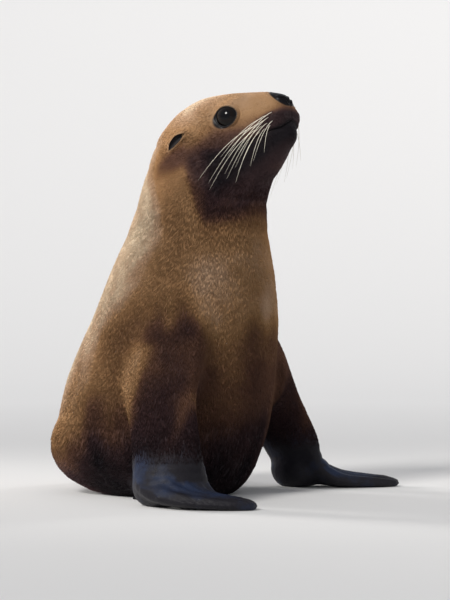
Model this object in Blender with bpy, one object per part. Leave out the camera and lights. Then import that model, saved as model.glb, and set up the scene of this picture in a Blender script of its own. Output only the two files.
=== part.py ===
"""A young California sea lion that sits upright on its fore flippers, still and life size.

Units are metres, +Z is up. The animal faces -Y, and its left side is +X. Sizes are given in the
animal's own terms: how far forward of its seat, how far to its left, and how high above the
floor. At the end everything moves, so that the origin is on the floor, under the middle of the
whole object's box.

The body is shaped whole, from a lofted trunk, a lofted head, rounded masses of muscle and four
lofted flippers. These are fused, smoothed and thinned to facets. Thin cuts then part it where
a person would name its pieces. Eyes, ears and claws are pieces of their own, set in pockets.
"""

import math

import bmesh
import bpy
import numpy as np
from mathutils import Euler, Matrix, Vector

# ---------------------------------------------------------------- driving sizes

GAP = 0.0003  # what two touching pieces keep between them
SAME_PLACE = 1e-6  # nearer than this, two points count as one

VOXEL = 0.0036  # grid on which the shapes are fused
SMOOTHING_FACTOR = 0.5
SMOOTHING_PASSES = 3  # all over
EASING_PASSES = 80  # on the trunk, fading towards the head and flippers
EASED_TO = 1.35  # where the easing ends, in the trunk's own half widths
EASING_FADE = 0.25  # over how many half widths it fades before that
HEAD_FIRM_FROM = 0.035  # how far along the head's axis it is not eased at all
HEAD_FADE = 0.06  # over what distance behind that the easing comes in
HEAD_DEPTH = 0.13  # how far below its axis the head still counts as head
FIRMNESS = 0.03  # the share of that easing that head and flippers still get
FLESH_TRIANGLES = 4750
DETAIL_SPARED = 0.01  # how strongly thinning spares the head and flippers

RING_POINTS = 40  # points round a lofted ring
RINGS_PER_STATION = 4  # rings from one named station to the next
MASS_SUBDIVISIONS = 4  # of the sphere a rounded mass is made from

# The trunk and neck. Each station is a slice from the back to the front of the animal:
# name, back (forward, up), front (forward, up), half width.
TRUNK_STATIONS = (
    ("seat", (-0.104, -0.008), (0.114, -0.006), 0.092),
    ("rump_fold", (-0.150, 0.018), (0.144, 0.018), 0.123),
    ("hips", (-0.176, 0.065), (0.165, 0.060), 0.144),
    ("belly", (-0.175, 0.125), (0.183, 0.120), 0.151),
    ("loin", (-0.150, 0.200), (0.194, 0.195), 0.148),
    ("breast", (-0.110, 0.276), (0.199, 0.275), 0.136),
    ("shoulders", (-0.077, 0.350), (0.197, 0.345), 0.118),
    ("neck_root", (-0.049, 0.410), (0.189, 0.400), 0.100),
    ("mid_neck", (-0.029, 0.466), (0.187, 0.440), 0.089),
    ("upper_neck", (-0.011, 0.522), (0.192, 0.468), 0.082),
    ("nape", (0.011, 0.569), (0.202, 0.487), 0.075),
    ("throat", (0.042, 0.598), (0.208, 0.500), 0.064),
)

# The head has its own axes, from the line between the ears to the nose.
HEAD_ORIGIN = (0.080, 0.552)  # forward, up
HEAD_PITCH = math.radians(20.5)  # the nose points this far above the level
# name, distance along the axis, top, bottom, half width, height of the widest place
HEAD_STATIONS = (
    ("occiput", -0.057, 0.0415, -0.050, 0.054, -0.004),
    ("crown", -0.0135, 0.0615, -0.078, 0.067, -0.006),
    ("cheekbones", 0.031, 0.0645, -0.102, 0.0695, -0.010),
    ("temples", 0.070, 0.0550, -0.107, 0.0600, -0.014),
    ("eyes", 0.088, 0.0492, -0.1050, 0.0535, -0.017),
    ("stop", 0.104, 0.0434, -0.1005, 0.0465, -0.021),
    ("bridge", 0.118, 0.0380, -0.0925, 0.0415, -0.024),
    ("muzzle", 0.132, 0.0326, -0.0820, 0.0380, -0.026),
    ("lip", 0.148, 0.0254, -0.0665, 0.0335, -0.025),
    ("nostrils", 0.160, 0.0190, -0.0500, 0.0270, -0.018),
    ("nose", 0.1695, 0.0120, -0.0260, 0.0180, -0.005),
    ("nose_tip", 0.1745, 0.0060, -0.0130, 0.0095, -0.003),
)

# Rounded masses on the head: name, centre and radii, each forward, to the side and up in the
# head's own axes. One that is off the middle is repeated on the other side.
HEAD_MASSES = (
    ("whisker_pad", (0.1455, 0.0180, -0.0215), (0.0270, 0.0215, 0.0205)),
    ("nose_pad", (0.1620, 0.0, 0.0015), (0.0135, 0.0155, 0.0120)),
    ("chin", (0.1385, 0.0, -0.0500), (0.0290, 0.0255, 0.0215)),
    ("cheek", (0.036, 0.034, -0.026), (0.058, 0.040, 0.044)),
    ("brow", (0.079, 0.0330, 0.0220), (0.036, 0.0185, 0.0130)),
)

# Rounded masses on the body, each forward, to the side and up: centre and radii.
BODY_MASSES = (
    ("shoulder", (0.085, 0.072, 0.262), (0.080, 0.066, 0.100)),
    ("upper_arm", (0.090, 0.114, 0.190), (0.072, 0.038, 0.075)),
    ("thigh", (-0.060, 0.078, 0.078), (0.092, 0.072, 0.074)),
)

# Flippers. Each station: name, centre (forward, left, up), the way the blade is broad
# (forward, left, up), half breadth, half thickness. Left and right differ in the pose.
FORE_RIGHT = (
    ("root", (0.086, -0.085, 0.285), (1.0, 0.0, 0.1), 0.072, 0.040),
    ("elbow", (0.099, -0.130, 0.205), (1.0, 0.0, 0.1), 0.072, 0.038),
    ("forearm", (0.114, -0.158, 0.150), (1.0, 0.0, 0.1), 0.0665, 0.031),
    ("shank", (0.137, -0.176, 0.102), (1.0, 0.0, 0.1), 0.0630, 0.027),
    ("wrist", (0.150, -0.186, 0.060), (1.0, 0.3, 0.3), 0.0590, 0.024),
    ("palm", (0.166, -0.188, 0.028), (0.8, 1.0, 0.2), 0.0540, 0.021),
    ("knuckles", (0.200, -0.184, 0.013), (0.10, 1.0, 0.0), 0.0480, 0.0145),
    ("blade", (0.238, -0.174, 0.009), (-0.2, 1.0, 0.0), 0.0380, 0.0120),
    ("digits", (0.270, -0.164, 0.007), (-0.25, 1.0, 0.0), 0.0250, 0.0100),
    ("tip", (0.291, -0.157, 0.005), (-0.25, 1.0, 0.0), 0.0105, 0.0075),
)
FORE_LEFT = (
    ("root", (0.070, 0.080, 0.285), (1.0, 0.0, 0.1), 0.070, 0.040),
    ("elbow", (0.083, 0.131, 0.205), (1.0, 0.0, 0.1), 0.066, 0.038),
    ("forearm", (0.094, 0.162, 0.150), (1.0, 0.0, 0.1), 0.0590, 0.031),
    ("shank", (0.107, 0.187, 0.102), (1.0, 0.0, 0.1), 0.0560, 0.026),
    ("wrist", (0.119, 0.206, 0.060), (1.0, -0.2, 0.3), 0.0550, 0.024),
    ("palm", (0.140, 0.226, 0.028), (1.0, -0.8, 0.2), 0.0520, 0.021),
    ("knuckles", (0.176, 0.250, 0.013), (0.75, -1.0, 0.0), 0.0470, 0.0145),
    ("blade", (0.211, 0.274, 0.009), (0.7, -1.0, 0.0), 0.0370, 0.0120),
    ("digits", (0.241, 0.295, 0.007), (0.7, -1.0, 0.0), 0.0250, 0.0100),
    ("tip", (0.259, 0.308, 0.005), (0.7, -1.0, 0.0), 0.0105, 0.0075),
)
HIND_RIGHT = (
    ("ankle", (-0.060, -0.050, 0.046), (-0.5, -1.0, 0.0), 0.036, 0.036),
    ("heel", (-0.010, -0.062, 0.030), (-0.2, -1.0, 0.0), 0.034, 0.027),
    ("instep", (0.030, -0.072, 0.020), (0.4, -1.0, 0.0), 0.030, 0.020),
    ("sole", (0.050, -0.094, 0.013), (1.0, 0.35, 0.0), 0.026, 0.014),
)
HIND_LEFT = (
    ("ankle", (-0.104, 0.060, 0.046), (1.0, 0.2, 0.0), 0.036, 0.036),
    ("heel", (-0.106, 0.102, 0.030), (1.0, 0.0, 0.0), 0.036, 0.027),
    ("instep", (-0.098, 0.140, 0.018), (1.0, -0.25, 0.0), 0.037, 0.020),
    ("sole", (-0.087, 0.176, 0.011), (1.0, -0.3, 0.0), 0.038, 0.013),
)
# The fan of five toes beyond each hind sole: its middle at the start and at the end
# (forward, left), the half breadths there, and which way the toes' row runs.
TOES_RIGHT = ((0.050, -0.090), (0.065, -0.143), 0.015, 0.017, (1.0, 0.28))
TOES_LEFT = ((-0.093, 0.160), (-0.065, 0.253), 0.029, 0.045, (1.0, -0.31))
TOE_COUNT = 5
TOE_POINTS = 16  # points round a toe's ring
TOE_BOW = 0.012  # how much farther the outer toes reach than the middle one
# A toe's slices: share of its length, half width as a share of the toes' spacing, half height.
TOE_SLICES = (
    (0.0, 0.62, 0.0105),
    (0.5, 0.50, 0.0085),
    (0.86, 0.56, 0.0060),
    (0.97, 0.44, 0.0050),
    (1.0, 0.24, 0.0030),
)
TOE_LIFT = 0.75  # how high a toe's middle lies, as a share of its half height
WEB_REACH = 0.93  # how far along the toes the web goes
WEB_THICKNESS = 0.008
# The outermost toes' nails are too small to show, and the right foot is half under the belly.
CLAWED_TOES = {"left": (1, 2, 3), "right": (2, 3)}
CLAW_PLACE = 0.70  # how far along its toe a claw sits, before the flap of skin
CLAW_RISE = 0.0123  # from the floor to the root of a claw
CLAW_LENGTH = 0.011
CLAW_RADIUS = 0.0022
CLAW_DROOP = 0.003  # how far its point bends down
CLAW_POINTS = 6  # points round a claw's ring
CLAW_SLICES = ((-0.3, 1.0), (0.4, 0.85), (0.8, 0.5), (1.0, 0.15))  # shares of length, radius

TAIL = (
    ("root", (-0.148, 0.010, 0.042), (0.5, 1.0, 0.0), 0.028, 0.028),
    ("middle", (-0.184, 0.028, 0.022), (0.7, 1.0, 0.0), 0.019, 0.017),
    ("point", (-0.203, 0.058, 0.010), (1.0, 0.6, 0.0), 0.013, 0.012),
    ("end", (-0.207, 0.080, 0.005), (1.0, 0.3, 0.0), 0.008, 0.008),
)
PALM_HEELS = ((0.134, -0.187, 0.028), (0.118, 0.209, 0.028))  # forward, left, up
PALM_HEEL_RADII = (0.046, 0.032, 0.036)

EYE_CENTRE = (0.0855, 0.0390, 0.004)  # in the head's axes
EYE_RADIUS = 0.0205
EYE_SEGMENTS = 18  # round its poles
EYE_RINGS = 9  # from pole to pole

# The ear is a small rolled leaf that lies back along the head. In the head's axes.
EAR_PATH = ((0.014, 0.0610, 0.006), (0.001, 0.0715, 0.002), (-0.015, 0.0765, -0.008))
EAR_HALF_WIDTHS = (0.0060, 0.0070, 0.0030)
EAR_HALF_THICKNESSES = (0.0050, 0.0042, 0.0020)
EAR_BROAD_WAY = (0.35, 0.35, 1)  # the way its leaf is broad
EAR_RINGS_PER_POINT = 3
EAR_POINTS = 12  # points round an ear's ring

# Where the cuts pass. A box parts what lies inside it: name, what it is taken from, whether
# in the head's axes, centre (forward, left, up), half sizes and turns in degrees.
BOXES = (
    ("fore_flipper_right", "body", False, (0.2085, -0.2330, 0.021), (0.125, 0.105, 0.041), (0, 0, 0)),
    ("fore_flipper_left", "body", False, (0.1950, 0.2350, 0.021), (0.140, 0.115, 0.041), (0, 0, -14)),
    ("forearm_right", "body", False, (0.1415, -0.2380, 0.150), (0.082, 0.110, 0.092), (0, 0, 14)),
    ("forearm_left", "body", False, (0.1330, 0.2410, 0.150), (0.085, 0.110, 0.092), (0, 0, -14)),
    ("hind_flipper_right", "body", False, (0.0640, -0.1590, 0.012), (0.030, 0.045, 0.016), (0, 0, 0)),
    ("hind_flipper_left", "body", False, (-0.0830, 0.2480, 0.018), (0.080, 0.095, 0.026), (0, 0, 0)),
    ("tail", "body", False, (-0.235, 0.0660, 0.014), (0.060, 0.042, 0.032), (0, 0, -41)),
    ("lower_jaw", "head", True, (0.132, 0.0, -0.098), (0.070, 0.090, 0.057), (0, -8, 0)),
    ("nose", "head", True, (0.1780, 0.0, 0.0100), (0.020, 0.030, 0.0200), (0, 14, 0)),
)
# A plane parts what lies below it: name, a point on the plane (forward, up) and how many
# degrees its front edge leans down.
PLANES = (
    ("hips", (0.0, 0.118), 0.0),
    ("abdomen", (0.0, 0.236), 4.0),
    ("chest", (0.070, 0.372), 10.0),
    ("neck", (0.107, 0.496), 34.0),
)
SHARP_ANGLE = math.radians(50)
FLAT_ANGLE = math.radians(0.8)

# Colour and roughness of each material.
COAT = ((0.22, 0.13, 0.075), 0.6)
BARE_SKIN = ((0.035, 0.030, 0.032), 0.5)
EYE = ((0.006, 0.006, 0.010), 0.05)
HORN = ((0.10, 0.08, 0.065), 0.4)


# ---------------------------------------------------------------- places and materials


def at(forward, left, up):
    """A point or direction given in the animal's own terms."""
    return Vector((left, -forward, up))


def axes_matrix(origin, pitch):
    """Turns (forward, left, up), pitched and from an origin, into the object's frame."""
    forward = at(math.cos(pitch), 0, math.sin(pitch))
    up = at(-math.sin(pitch), 0, math.cos(pitch))
    turn = Matrix((forward, at(0, 1, 0), up)).transposed().to_4x4()
    return Matrix.Translation(at(origin[0], 0, origin[1])) @ turn


BODY_AXES = axes_matrix((0, 0), 0)
HEAD_AXES = axes_matrix(HEAD_ORIGIN, HEAD_PITCH)


def principled(name, colour, roughness):
    material = bpy.data.materials.new(name)
    material.use_nodes = True
    shader = material.node_tree.nodes["Principled BSDF"]
    shader.inputs["Base Color"].default_value = (*colour, 1)
    shader.inputs["Roughness"].default_value = roughness
    return material


# ---------------------------------------------------------------- shapes


def smooth_rows(rows, steps):
    """Rows of numbers between the given ones, on a Catmull-Rom curve through them."""
    rows = np.asarray(rows, float)
    padded = np.vstack([2 * rows[0] - rows[1], rows, 2 * rows[-1] - rows[-2]])
    found = []
    for i in range(len(rows) - 1):
        a, b, c, d = padded[i : i + 4]
        for t in np.arange(steps) / steps:
            linear = (c - a) * t
            square = (2 * a - 5 * b + 4 * c - d) * t**2
            cube = (3 * b - a - 3 * c + d) * t**3
            found.append(b + (linear + square + cube) / 2)
    return np.array(found + [rows[-1]])


def ring(centre, across, up, down, points=RING_POINTS):
    """Points round an oval whose half axes are across, up and down."""
    found = []
    for k in range(points):
        angle = 2 * math.pi * k / points
        rise = up if math.sin(angle) > 0 else down
        found.append(centre + across * math.cos(angle) + rise * abs(math.sin(angle)))
    return found


def add_loft(bm, rings):
    """A closed skin over the rings, capped at both ends, its faces pointing out."""
    loops = [[bm.verts.new(p) for p in points] for points in rings]
    faces = [bm.faces.new(loops[0]), bm.faces.new(loops[-1])]
    for lower, upper in zip(loops, loops[1:]):
        for k in range(len(lower)):
            n = (k + 1) % len(lower)
            faces.append(bm.faces.new((lower[k], lower[n], upper[n], upper[k])))
    bmesh.ops.recalc_face_normals(bm, faces=faces)


def add_ellipsoid(bm, frame, centre, radii):
    place = frame @ Matrix.Translation(centre) @ Matrix.Diagonal((*radii, 1))
    bmesh.ops.create_icosphere(bm, subdivisions=MASS_SUBDIVISIONS, radius=1, matrix=place)


def add_masses(bm, frame, masses):
    for _, centre, radii in masses:
        for side in (1, -1) if centre[1] else (1,):
            placed = (centre[0], side * centre[1], centre[2])
            add_ellipsoid(bm, frame, placed, radii)


def add_trunk(bm):
    table = [(*back, *front, width) for _, back, front, width in TRUNK_STATIONS]
    rings = []
    for b_fwd, b_up, f_fwd, f_up, width in smooth_rows(table, RINGS_PER_STATION):
        back, front = at(b_fwd, 0, b_up), at(f_fwd, 0, f_up)
        half = (front - back) / 2
        rings.append(ring((back + front) / 2, at(0, width, 0), half, -half))
    add_loft(bm, rings)


def add_head(bm):
    turn = HEAD_AXES.to_3x3()
    rings = []
    table = [station[1:] for station in HEAD_STATIONS]
    for along, top, bottom, width, widest in smooth_rows(table, RINGS_PER_STATION):
        centre = HEAD_AXES @ Vector((along, 0, widest))
        across = turn @ Vector((0, width, 0))
        up = turn @ Vector((0, 0, top - widest))
        down = turn @ Vector((0, 0, bottom - widest))
        rings.append(ring(centre, across, up, down))
    add_loft(bm, rings)
    add_masses(bm, HEAD_AXES, HEAD_MASSES)


def add_limb(bm, stations):
    """A flattened tapering limb through its stations."""
    table = [(*centre, *broad, half, thick) for _, centre, broad, half, thick in stations]
    rows = smooth_rows(table, RINGS_PER_STATION)
    centres = [at(*row[:3]) for row in rows]
    rings = []
    for i, row in enumerate(rows):
        ahead = centres[min(i + 1, len(rows) - 1)] - centres[max(i - 1, 0)]
        broad = at(*row[3:6]).normalized()
        thin = ahead.cross(broad).normalized() * row[7]
        rings.append(ring(centres[i], broad * row[6], thin, -thin))
    add_loft(bm, rings)


def toe_line(fan, index):
    """Where one toe of a hind flipper starts and where its flap ends, on the floor."""
    start, end, start_half, end_half, row_way = fan
    row = at(*row_way, 0).normalized()
    share = 2 * index / (TOE_COUNT - 1) - 1
    ahead = (at(*end, 0) - at(*start, 0)).normalized()
    bow = ahead * TOE_BOW * (1 - share**2)
    return at(*start, 0) + row * start_half * share, at(*end, 0) + row * end_half * share - bow


def add_toes(bm, fan):
    """Five round toes on the floor, and the web of skin that joins them."""
    for index in range(TOE_COUNT):
        start, end = toe_line(fan, index)
        ahead = end - start
        side = at(0, 0, 1).cross(ahead).normalized()
        rings = []
        for share, wide, height in TOE_SLICES:
            spacing = 2 * (fan[2] + (fan[3] - fan[2]) * share) / (TOE_COUNT - 1)
            centre = start + ahead * share + at(0, 0, height * TOE_LIFT)
            up = at(0, 0, height)
            rings.append(ring(centre, side * wide * spacing, up, -up, TOE_POINTS))
        add_loft(bm, rings)
    for index in range(TOE_COUNT - 1):
        near, far = toe_line(fan, index), toe_line(fan, index + 1)
        rings = []
        for share in (0, WEB_REACH):
            a, b = (toe[0].lerp(toe[1], share) for toe in (near, far))
            up = at(0, 0, WEB_THICKNESS)
            rings.append([a, b, b + up, a + up])
        add_loft(bm, rings)


def softness(points):
    """How much the skin at each point is eased: wholly on the trunk, little elsewhere."""
    forward, left, up = -points[:, 1], points[:, 0], points[:, 2]
    table = np.array([(*back, *front, width) for _, back, front, width in TRUNK_STATIONS])
    height = (table[:, 1] + table[:, 3]) / 2
    back = np.interp(up, height, table[:, 0])
    front = np.interp(up, height, table[:, 2])
    width = np.interp(up, height, table[:, 4])
    reach = (forward - (back + front) / 2) / ((front - back) / 2)
    on_trunk = np.clip((EASED_TO - np.hypot(reach, left / width)) / EASING_FADE, 0, 1)
    ahead = (forward - HEAD_ORIGIN[0]) * math.cos(HEAD_PITCH)
    ahead += (up - HEAD_ORIGIN[1]) * math.sin(HEAD_PITCH)
    behind_head = np.clip((HEAD_FIRM_FROM - ahead) / HEAD_FADE, 0, 1)
    behind_head[up < HEAD_ORIGIN[1] - HEAD_DEPTH] = 1
    return np.maximum(on_trunk * behind_head, FIRMNESS)


# ---------------------------------------------------------------- changing meshes


def linked(mesh, name):
    made = bpy.data.objects.new(name, mesh)
    bpy.context.scene.collection.objects.link(made)
    return made


def from_bmesh(bm, name):
    mesh = bpy.data.meshes.new(name)
    bm.to_mesh(mesh)
    bm.free()
    return linked(mesh, name)


def applied(thing, name):
    """A new object with the evaluated mesh of thing, which is removed."""
    bpy.context.view_layer.update()
    graph = bpy.context.evaluated_depsgraph_get()
    mesh = bpy.data.meshes.new_from_object(thing.evaluated_get(graph))
    bpy.data.objects.remove(thing)
    made = linked(mesh, name)
    made.name = name
    return made


def fused(bm, name):
    """The overlapping shapes in bm as one smooth skin, thinned to facets."""
    rough = from_bmesh(bm, name)
    remesh = rough.modifiers.new("fuse", "REMESH")
    remesh.mode = "VOXEL"
    remesh.voxel_size = VOXEL
    whole = applied(rough, name)

    points = np.array([v.co for v in whole.data.vertices])
    soft = whole.vertex_groups.new(name="soft")
    for index, weight in enumerate(softness(points)):
        soft.add([index], weight, "REPLACE")
    soften = whole.modifiers.new("soften", "SMOOTH")
    soften.factor, soften.iterations = SMOOTHING_FACTOR, SMOOTHING_PASSES
    ease = whole.modifiers.new("ease", "SMOOTH")
    ease.factor, ease.iterations = SMOOTHING_FACTOR, EASING_PASSES
    ease.vertex_group = soft.name
    thin = whole.modifiers.new("facets", "DECIMATE")
    triangles = sum(len(p.vertices) - 2 for p in whole.data.polygons)
    thin.vertex_group, thin.vertex_group_factor = soft.name, DETAIL_SPARED
    thin.ratio = FLESH_TRIANGLES / triangles
    return applied(whole, name)


def keep_side(thing, point, normal):
    """Cuts thing by a plane, keeps the side that normal points to and closes the cut."""
    bm = bmesh.new()
    bm.from_mesh(thing.data)
    whole = bm.verts[:] + bm.edges[:] + bm.faces[:]
    bmesh.ops.bisect_plane(
        bm, geom=whole, dist=SAME_PLACE, plane_co=point, plane_no=normal, clear_inner=True
    )
    rim = [e for e in bm.edges if e.is_boundary]
    bmesh.ops.holes_fill(bm, edges=rim, sides=0)
    bm.to_mesh(thing.data)
    bm.free()


def simplified(mesh):
    """Joins the facets that lie flat together, and leaves only triangles."""
    bm = bmesh.new()
    bm.from_mesh(mesh)
    bmesh.ops.dissolve_limit(bm, angle_limit=FLAT_ANGLE, verts=bm.verts, edges=bm.edges)
    bmesh.ops.triangulate(bm, faces=bm.faces)
    bm.to_mesh(mesh)
    bm.free()


def combined(thing, cutter, operation, name):
    """thing cut by the cutter (DIFFERENCE), or only what is in both (INTERSECT)."""
    cut = thing.modifiers.new("cut", "BOOLEAN")
    cut.operation, cut.object = operation, cutter
    return applied(thing, name)


def box(frame, centre, half, turns, grow):
    bm = bmesh.new()
    turn = Euler([math.radians(angle) for angle in turns]).to_matrix().to_4x4()
    size = Matrix.Diagonal((*[2 * (h + grow) for h in half], 1))
    place = frame @ Matrix.Translation(centre) @ turn @ size
    bmesh.ops.create_cube(bm, size=1, matrix=place)
    bmesh.ops.recalc_face_normals(bm, faces=bm.faces)
    return from_bmesh(bm, "box")


def part_by_box(nodes, name, host, in_head, centre, half, turns):
    """Takes what lies inside a box from its host, with a gap all round."""
    frame = HEAD_AXES if in_head else BODY_AXES
    inner, outer = (box(frame, centre, half, turns, grow) for grow in (0, GAP))
    twin = linked(nodes[host].data.copy(), name)
    nodes[name] = combined(twin, inner, "INTERSECT", name)
    nodes[host] = combined(nodes[host], outer, "DIFFERENCE", host)
    bpy.data.objects.remove(inner)
    bpy.data.objects.remove(outer)


def part_by_plane(nodes, name, point, lean):
    """Takes what lies below a leaning plane from the body, with a gap between."""
    angle = math.radians(lean)
    up = at(math.sin(angle), 0, math.cos(angle))
    middle = at(point[0], 0, point[1])
    nodes[name] = linked(nodes["body"].data.copy(), name)
    keep_side(nodes[name], middle - up * GAP / 2, -up)
    keep_side(nodes["body"], middle + up * GAP / 2, up)


def set_in(nodes, host, name, shape):
    """Adds a piece made by shape(bmesh, grow), in a pocket of its host that fits it."""
    made = []
    for grow, title in ((0, name), (GAP, name + "_pocket")):
        bm = bmesh.new()
        shape(bm, grow)
        made.append(from_bmesh(bm, title))
    nodes[name], pocket = made
    nodes[host] = combined(nodes[host], pocket, "DIFFERENCE", host)
    bpy.data.objects.remove(pocket)


def eye_shape(side):
    def shape(bm, grow):
        centre = (EYE_CENTRE[0], side * EYE_CENTRE[1], EYE_CENTRE[2])
        size = Matrix.Diagonal((*[EYE_RADIUS + grow] * 3, 1))
        place = HEAD_AXES @ Matrix.Translation(centre) @ size
        bmesh.ops.create_uvsphere(
            bm, u_segments=EYE_SEGMENTS, v_segments=EYE_RINGS, radius=1, matrix=place
        )

    return shape


def ear_shape(side):
    def shape(bm, grow):
        table = [(*p, w, t) for p, w, t in zip(EAR_PATH, EAR_HALF_WIDTHS, EAR_HALF_THICKNESSES)]
        rows = smooth_rows(table, EAR_RINGS_PER_POINT)
        centres = [HEAD_AXES @ Vector((r[0], side * r[1], r[2])) for r in rows]
        forward, out, up = EAR_BROAD_WAY
        broad = HEAD_AXES.to_3x3() @ Vector((forward, side * out, up)).normalized()
        rings = []
        for i, row in enumerate(rows):
            ahead = centres[min(i + 1, len(rows) - 1)] - centres[max(i - 1, 0)]
            thin = ahead.cross(broad).normalized() * (row[4] + grow)
            rings.append(ring(centres[i], broad * (row[3] + grow), thin, -thin, EAR_POINTS))
        add_loft(bm, rings)

    return shape


def claw_shape(fan, index):
    def shape(bm, grow):
        start, end = toe_line(fan, index)
        ahead = (end - start).normalized()
        side = at(0, 0, 1).cross(ahead).normalized()
        root = start.lerp(end, CLAW_PLACE) + at(0, 0, CLAW_RISE)
        rings = []
        for share, size in CLAW_SLICES:
            droop = at(0, 0, CLAW_DROOP) * share**2
            centre = root + ahead * CLAW_LENGTH * share - droop
            radius = CLAW_RADIUS * size + grow
            up = at(0, 0, radius)
            rings.append(ring(centre, side * radius, up, -up, CLAW_POINTS))
        add_loft(bm, rings)

    return shape


# ---------------------------------------------------------------- the animal


def whole_body():
    bm = bmesh.new()
    add_trunk(bm)
    add_masses(bm, BODY_AXES, BODY_MASSES)
    add_head(bm)
    for stations in (FORE_RIGHT, FORE_LEFT, HIND_RIGHT, HIND_LEFT, TAIL):
        add_limb(bm, stations)
    for fan in (TOES_RIGHT, TOES_LEFT):
        add_toes(bm, fan)
    for centre in PALM_HEELS:
        add_ellipsoid(bm, BODY_AXES, centre, PALM_HEEL_RADII)
    whole = fused(bm, "body")
    keep_side(whole, at(0, 0, 0), at(0, 0, 1))
    return whole


def parted():
    """The body's pieces by name."""
    nodes = {"body": whole_body()}
    for name, host, in_head, *where in BOXES:
        if host == "body":
            part_by_box(nodes, name, host, in_head, *where)
    for name, point, lean in PLANES:
        part_by_plane(nodes, name, point, lean)
    nodes["head"] = nodes.pop("body")
    for name, host, in_head, *where in BOXES:
        if host == "head":
            part_by_box(nodes, name, host, in_head, *where)
    for word, side in (("left", 1), ("right", -1)):
        set_in(nodes, "head", "eye_" + word, eye_shape(side))
        set_in(nodes, "head", "ear_" + word, ear_shape(side))
    for word, fan in (("left", TOES_LEFT), ("right", TOES_RIGHT)):
        for index in CLAWED_TOES[word]:
            host = "hind_flipper_" + word
            set_in(nodes, host, f"claw_{word}_{index + 1}", claw_shape(fan, index))
    return nodes


def finished(nodes):
    """Gives each piece its name, material and shading, and centres the whole on its box."""
    coat = principled("coat", *COAT)
    bare = principled("bare_skin", *BARE_SKIN)
    eye = principled("eye", *EYE)
    horn = principled("horn", *HORN)
    materials = {"fore": bare, "hind": bare, "nose": bare, "eye": eye, "claw": horn}
    corners = np.array([v.co for thing in nodes.values() for v in thing.data.vertices])
    low, high = corners.min(axis=0), corners.max(axis=0)
    shift = Matrix.Translation((-(low[0] + high[0]) / 2, -(low[1] + high[1]) / 2, -low[2]))
    for name, thing in nodes.items():
        thing.name = thing.data.name = name
        thing.data.transform(shift)
        simplified(thing.data)
        thing.data.materials.clear()
        kind = "coat" if name.startswith("forearm") else name.split("_")[0]
        thing.data.materials.append(materials.get(kind, coat))
        thing.data.shade_smooth()
        thing.data.set_sharp_from_angle(angle=SHARP_ANGLE)


def main():
    for thing in list(bpy.data.objects):
        bpy.data.objects.remove(thing)
    finished(parted())


main()
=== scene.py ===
# %% [markdown]
# # A young sea lion, sitting upright
#
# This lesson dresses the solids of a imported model, so that they look like a living animal. The
# solids already have the right size, outline and pose. What they lack is what this file makes:
# one skin without seams, lids round the eyes, a nose, a mouth, ears, whiskers, a short coat of
# fur, leathery flippers, and light to see them by.
#
# A sea lion is a good first animal. Its coat is short and lies flat, so that the form of the
# body shows through it, and most of the work goes into the head.

import math

import bmesh
import bpy
import numpy as np
from mathutils import Matrix, Vector
from mathutils.kdtree import KDTree


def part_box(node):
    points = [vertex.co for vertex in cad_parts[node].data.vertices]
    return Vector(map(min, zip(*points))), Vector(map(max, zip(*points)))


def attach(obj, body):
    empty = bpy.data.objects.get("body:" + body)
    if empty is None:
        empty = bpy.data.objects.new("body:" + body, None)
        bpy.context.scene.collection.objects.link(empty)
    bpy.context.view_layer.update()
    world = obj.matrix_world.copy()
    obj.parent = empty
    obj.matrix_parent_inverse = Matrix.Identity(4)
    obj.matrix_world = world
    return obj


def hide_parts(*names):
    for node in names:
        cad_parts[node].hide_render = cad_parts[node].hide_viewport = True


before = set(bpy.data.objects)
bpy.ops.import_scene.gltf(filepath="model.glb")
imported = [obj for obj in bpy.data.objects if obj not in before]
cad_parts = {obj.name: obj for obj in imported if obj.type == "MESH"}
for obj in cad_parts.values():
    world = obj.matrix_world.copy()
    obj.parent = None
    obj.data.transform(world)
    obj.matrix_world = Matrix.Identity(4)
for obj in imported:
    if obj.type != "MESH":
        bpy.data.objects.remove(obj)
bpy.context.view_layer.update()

# %% [markdown]
# Every piece needs data, such as a mesh, and an object that puts the data into the scene. Two
# small helpers do that for all the pieces, for the camera and for the lamps.

# %% Two helpers for new pieces
def linked(data, name):
    """A new object for the data, put into the scene."""
    made = bpy.data.objects.new(name, data)
    bpy.context.scene.collection.objects.link(made)
    return made

def mesh_of(bm, name):
    """A new mesh with the bmesh's faces. The bmesh is freed."""
    mesh = bpy.data.meshes.new(name)
    bm.to_mesh(mesh)
    bm.free()
    return mesh

print("helpers:", linked.__name__, mesh_of.__name__)

# %% [markdown]
# ## Where things are
#
# The animal faces -Y and its left side is +X. Its head is tilted up, so the head gets axes of its
# own: forward along the muzzle, to the animal's left, and up through the crown. They start from
# the middle between the eyes, which the model gives. Every detail of the face is then a small
# distance along the head's own axes, and would follow if the head were posed differently.

# %% The head's axes
HEAD_TILT = math.radians(20.5)
EYES_FORWARD = 0.0855  # from the start of the head's axes to the middle between the eyes
EYES_UP = 0.004
SEAT_BEHIND_EYES = 0.1587

def middle(node):
    low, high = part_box(node)
    return (low + high) / 2

eyes_middle = (middle("eye_left") + middle("eye_right")) / 2
muzzle_way = Vector((0, -math.cos(HEAD_TILT), math.sin(HEAD_TILT)))
left_way = Vector((1, 0, 0))
crown_way = Vector((0, math.sin(HEAD_TILT), math.cos(HEAD_TILT)))
head_start = eyes_middle - muzzle_way * EYES_FORWARD - crown_way * EYES_UP
head_axes = np.column_stack([muzzle_way, left_way, crown_way])
seat = Vector((eyes_middle.x, eyes_middle.y + SEAT_BEHIND_EYES, 0))
print("the head's axes start at", [round(c, 3) for c in head_start])

# %% To the head's axes and back
def in_head(points):
    """World points as (forward, left, up) in the head's axes, one row each."""
    return (np.asarray(points, float) - np.array(head_start)) @ head_axes

def from_head(forward, left, up):
    return head_start + muzzle_way * forward + left_way * left + crown_way * up

print("the eyes' middle in the head's axes:", np.round(in_head([eyes_middle])[0], 4))

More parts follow.
